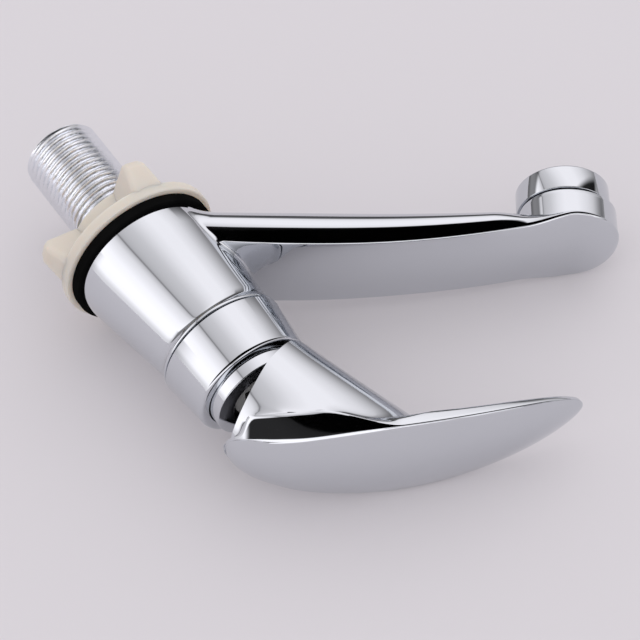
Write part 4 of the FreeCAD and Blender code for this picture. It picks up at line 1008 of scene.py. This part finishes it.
# %% Draw the room
ROOM = (  # angle in degrees, brightness of the light there
    (-180, 0.86), (-120, 0.35), (-60, 0.30), (-8, 0.22), (4, 0.30), (18, 0.56), (34, 0.86),
    (50, 1.04), (68, 1.04), (80, 0.93), (96, 0.70), (110, 0.60), (116, 0.52), (118, 0.22),
    (120, 0.62), (127, 0.90), (143, 1.18), (160, 1.28), (172, 1.22), (180, 0.86))
ROOM_TINT, STOP_SCALE, ROOM_GAIN = (1.0, 0.968, 0.99), 1.25, 1.55
DARK_CENTRE = Vector((-0.05, 0.93, 0.36)).normalized()
DARK_EDGE, DARK_LEFT = (0.865, 0.885), 0.02
LEVER_SIDE, OVERHEAD, OVERHEAD_EDGE, OVERHEAD_DARK = (-0.12, 0.02), (0, 1, -0.6), (0.05, 0.2), 0.98
LOW_EDGE, LOW_LEFT, INLET_SIDE = (0.25, 0.38), 0.2, (-0.7, -0.42)
FILL, BACKDROP = (0.84, 0.84, 0.86, 1.0), (0.67, 0.64, 0.69, 1.0)

SCENE.world = bpy.data.worlds.new("studio")
SCENE.world.use_nodes = True
SKY = SCENE.world.node_tree


def calculate(operation, first, second):
    """Two numbers in, one number out."""
    return wire(SKY, "ShaderNodeMath", first, second, setting={"operation": operation})


def smooth_range(value, edge, start=0.0, end=1.0):
    """Start where a value lies before an edge, end beyond it, and a smooth change across."""
    return wire(SKY, "ShaderNodeMapRange", value, *edge, start, end, setting=SMOOTH)


def leaning(direction, way):
    """How much a direction leans a given way."""
    return wire(SKY, "ShaderNodeVectorMath", direction, way, output="Value",
                setting={"operation": "DOT_PRODUCT"})


def room_lights(side, top):
    """The lights by their angle round the tap's axis."""
    share = calculate("DIVIDE", calculate("ARCTAN2", top, side), tau)
    lights = wire(SKY, "ShaderNodeValToRGB", calculate("ADD", share, 0.5))
    stops = lights.node.color_ramp.elements
    colours = [[light / STOP_SCALE * tint for tint in ROOM_TINT] + [1.0] for _, light in ROOM]
    stops[0].color, stops[1].color = colours[0], colours[-1]
    for (degrees, _), colour in list(zip(ROOM, colours))[1:-1]:
        stops.new((degrees + 180) / 360).color = colour
    return lights


def make_room():
    """The world's light by direction. Diffuse light comes from an even fill."""
    direction = wire(SKY, "ShaderNodeTexCoord", output="Generated")
    side, top, handle = wire(SKY, "ShaderNodeSeparateXYZ", direction).node.outputs
    dark = smooth_range(leaning(direction, DARK_CENTRE), DARK_EDGE, ROOM_GAIN, DARK_LEFT)
    overhead = smooth_range(leaning(direction, OVERHEAD), OVERHEAD_EDGE, end=OVERHEAD_DARK)
    away = calculate("MULTIPLY", smooth_range(handle, LEVER_SIDE), overhead)
    low = calculate("MAXIMUM", smooth_range(top, LOW_EDGE, LOW_LEFT),
                    smooth_range(handle, INLET_SIDE))
    strength = calculate("MULTIPLY", calculate("MULTIPLY", low, dark),
                         calculate("SUBTRACT", 1.0, away))
    lit = wire(SKY, "ShaderNodeVectorMath", room_lights(side, top), Scale=strength,
               setting={"operation": "SCALE"})
    shade = FILL
    for ray, shown in (("Is Glossy Ray", lit), ("Is Camera Ray", BACKDROP)):
        seen = wire(SKY, "ShaderNodeLightPath", output=ray)
        shade = wire(SKY, "ShaderNodeMix", setting=COLOURS, output="Result", Factor=seen,
                     A=shade, B=shown)
    feed(SKY, SKY.nodes["Background"], Color=shade)


make_room()
print("room drawn with", len(ROOM), "stops")

# %% [markdown]
# ## Soft light from above
# The room alone gives almost no shadow. A wide, far light from above, a little towards the
# spout's side, adds the soft shadow that the tap drops on the sheet. It lights the whole sheet
# evenly and stays out of the mirror.

# %% Hang the light
LIGHT_FROM, LIGHT_SPREAD, LIGHT_ENERGY = Vector((0.55, 1.0, -0.08)), 70.0, 0.45
lamp_data = bpy.data.lights.new("overhead_light", "SUN")
lamp_data.angle, lamp_data.energy = radians(LIGHT_SPREAD), LIGHT_ENERGY
lamp = bpy.data.objects.new("overhead_light", lamp_data)
SCENE.collection.objects.link(lamp)
lamp.rotation_euler = (-LIGHT_FROM).to_track_quat("-Z", "Y").to_euler()
lamp.visible_glossy = False
print("light from", [round(v, 2) for v in LIGHT_FROM.normalized()])

# %% [markdown]
# ## The camera
# The photograph was taken from above and behind, with a long lens, and the tap's axis runs from
# the upper left to the lower right. Place and directions were fitted to the tap's round edges.

# %% Place the camera
CAMERA_PLACE = Vector((-153.5, 461.5, 299.1)) * MM
IMAGE_RIGHT = Vector((0.8228, 0.0019, 0.5683))
IMAGE_UP = Vector((0.4686, 0.5635, -0.6803))
LENS, SENSOR, NEAR, FAR = 125.05, 36.0, 0.01, 20.0

camera_data = bpy.data.cameras.new("long_lens")
camera_data.lens, camera_data.sensor_width = LENS, SENSOR
camera_data.clip_start, camera_data.clip_end = NEAR, FAR
camera = bpy.data.objects.new("long_lens", camera_data)
SCENE.collection.objects.link(camera)
right = IMAGE_RIGHT.normalized()
up = (IMAGE_UP - right * IMAGE_UP.dot(right)).normalized()
turn = Matrix((right, up, right.cross(up))).transposed()
camera.matrix_world = Matrix.Translation(CAMERA_PLACE) @ turn.to_4x4()
SCENE.camera = camera
SCENE.view_settings.view_transform = "Standard"
print("camera", round(CAMERA_PLACE.length, 3), "m from the tap's base")
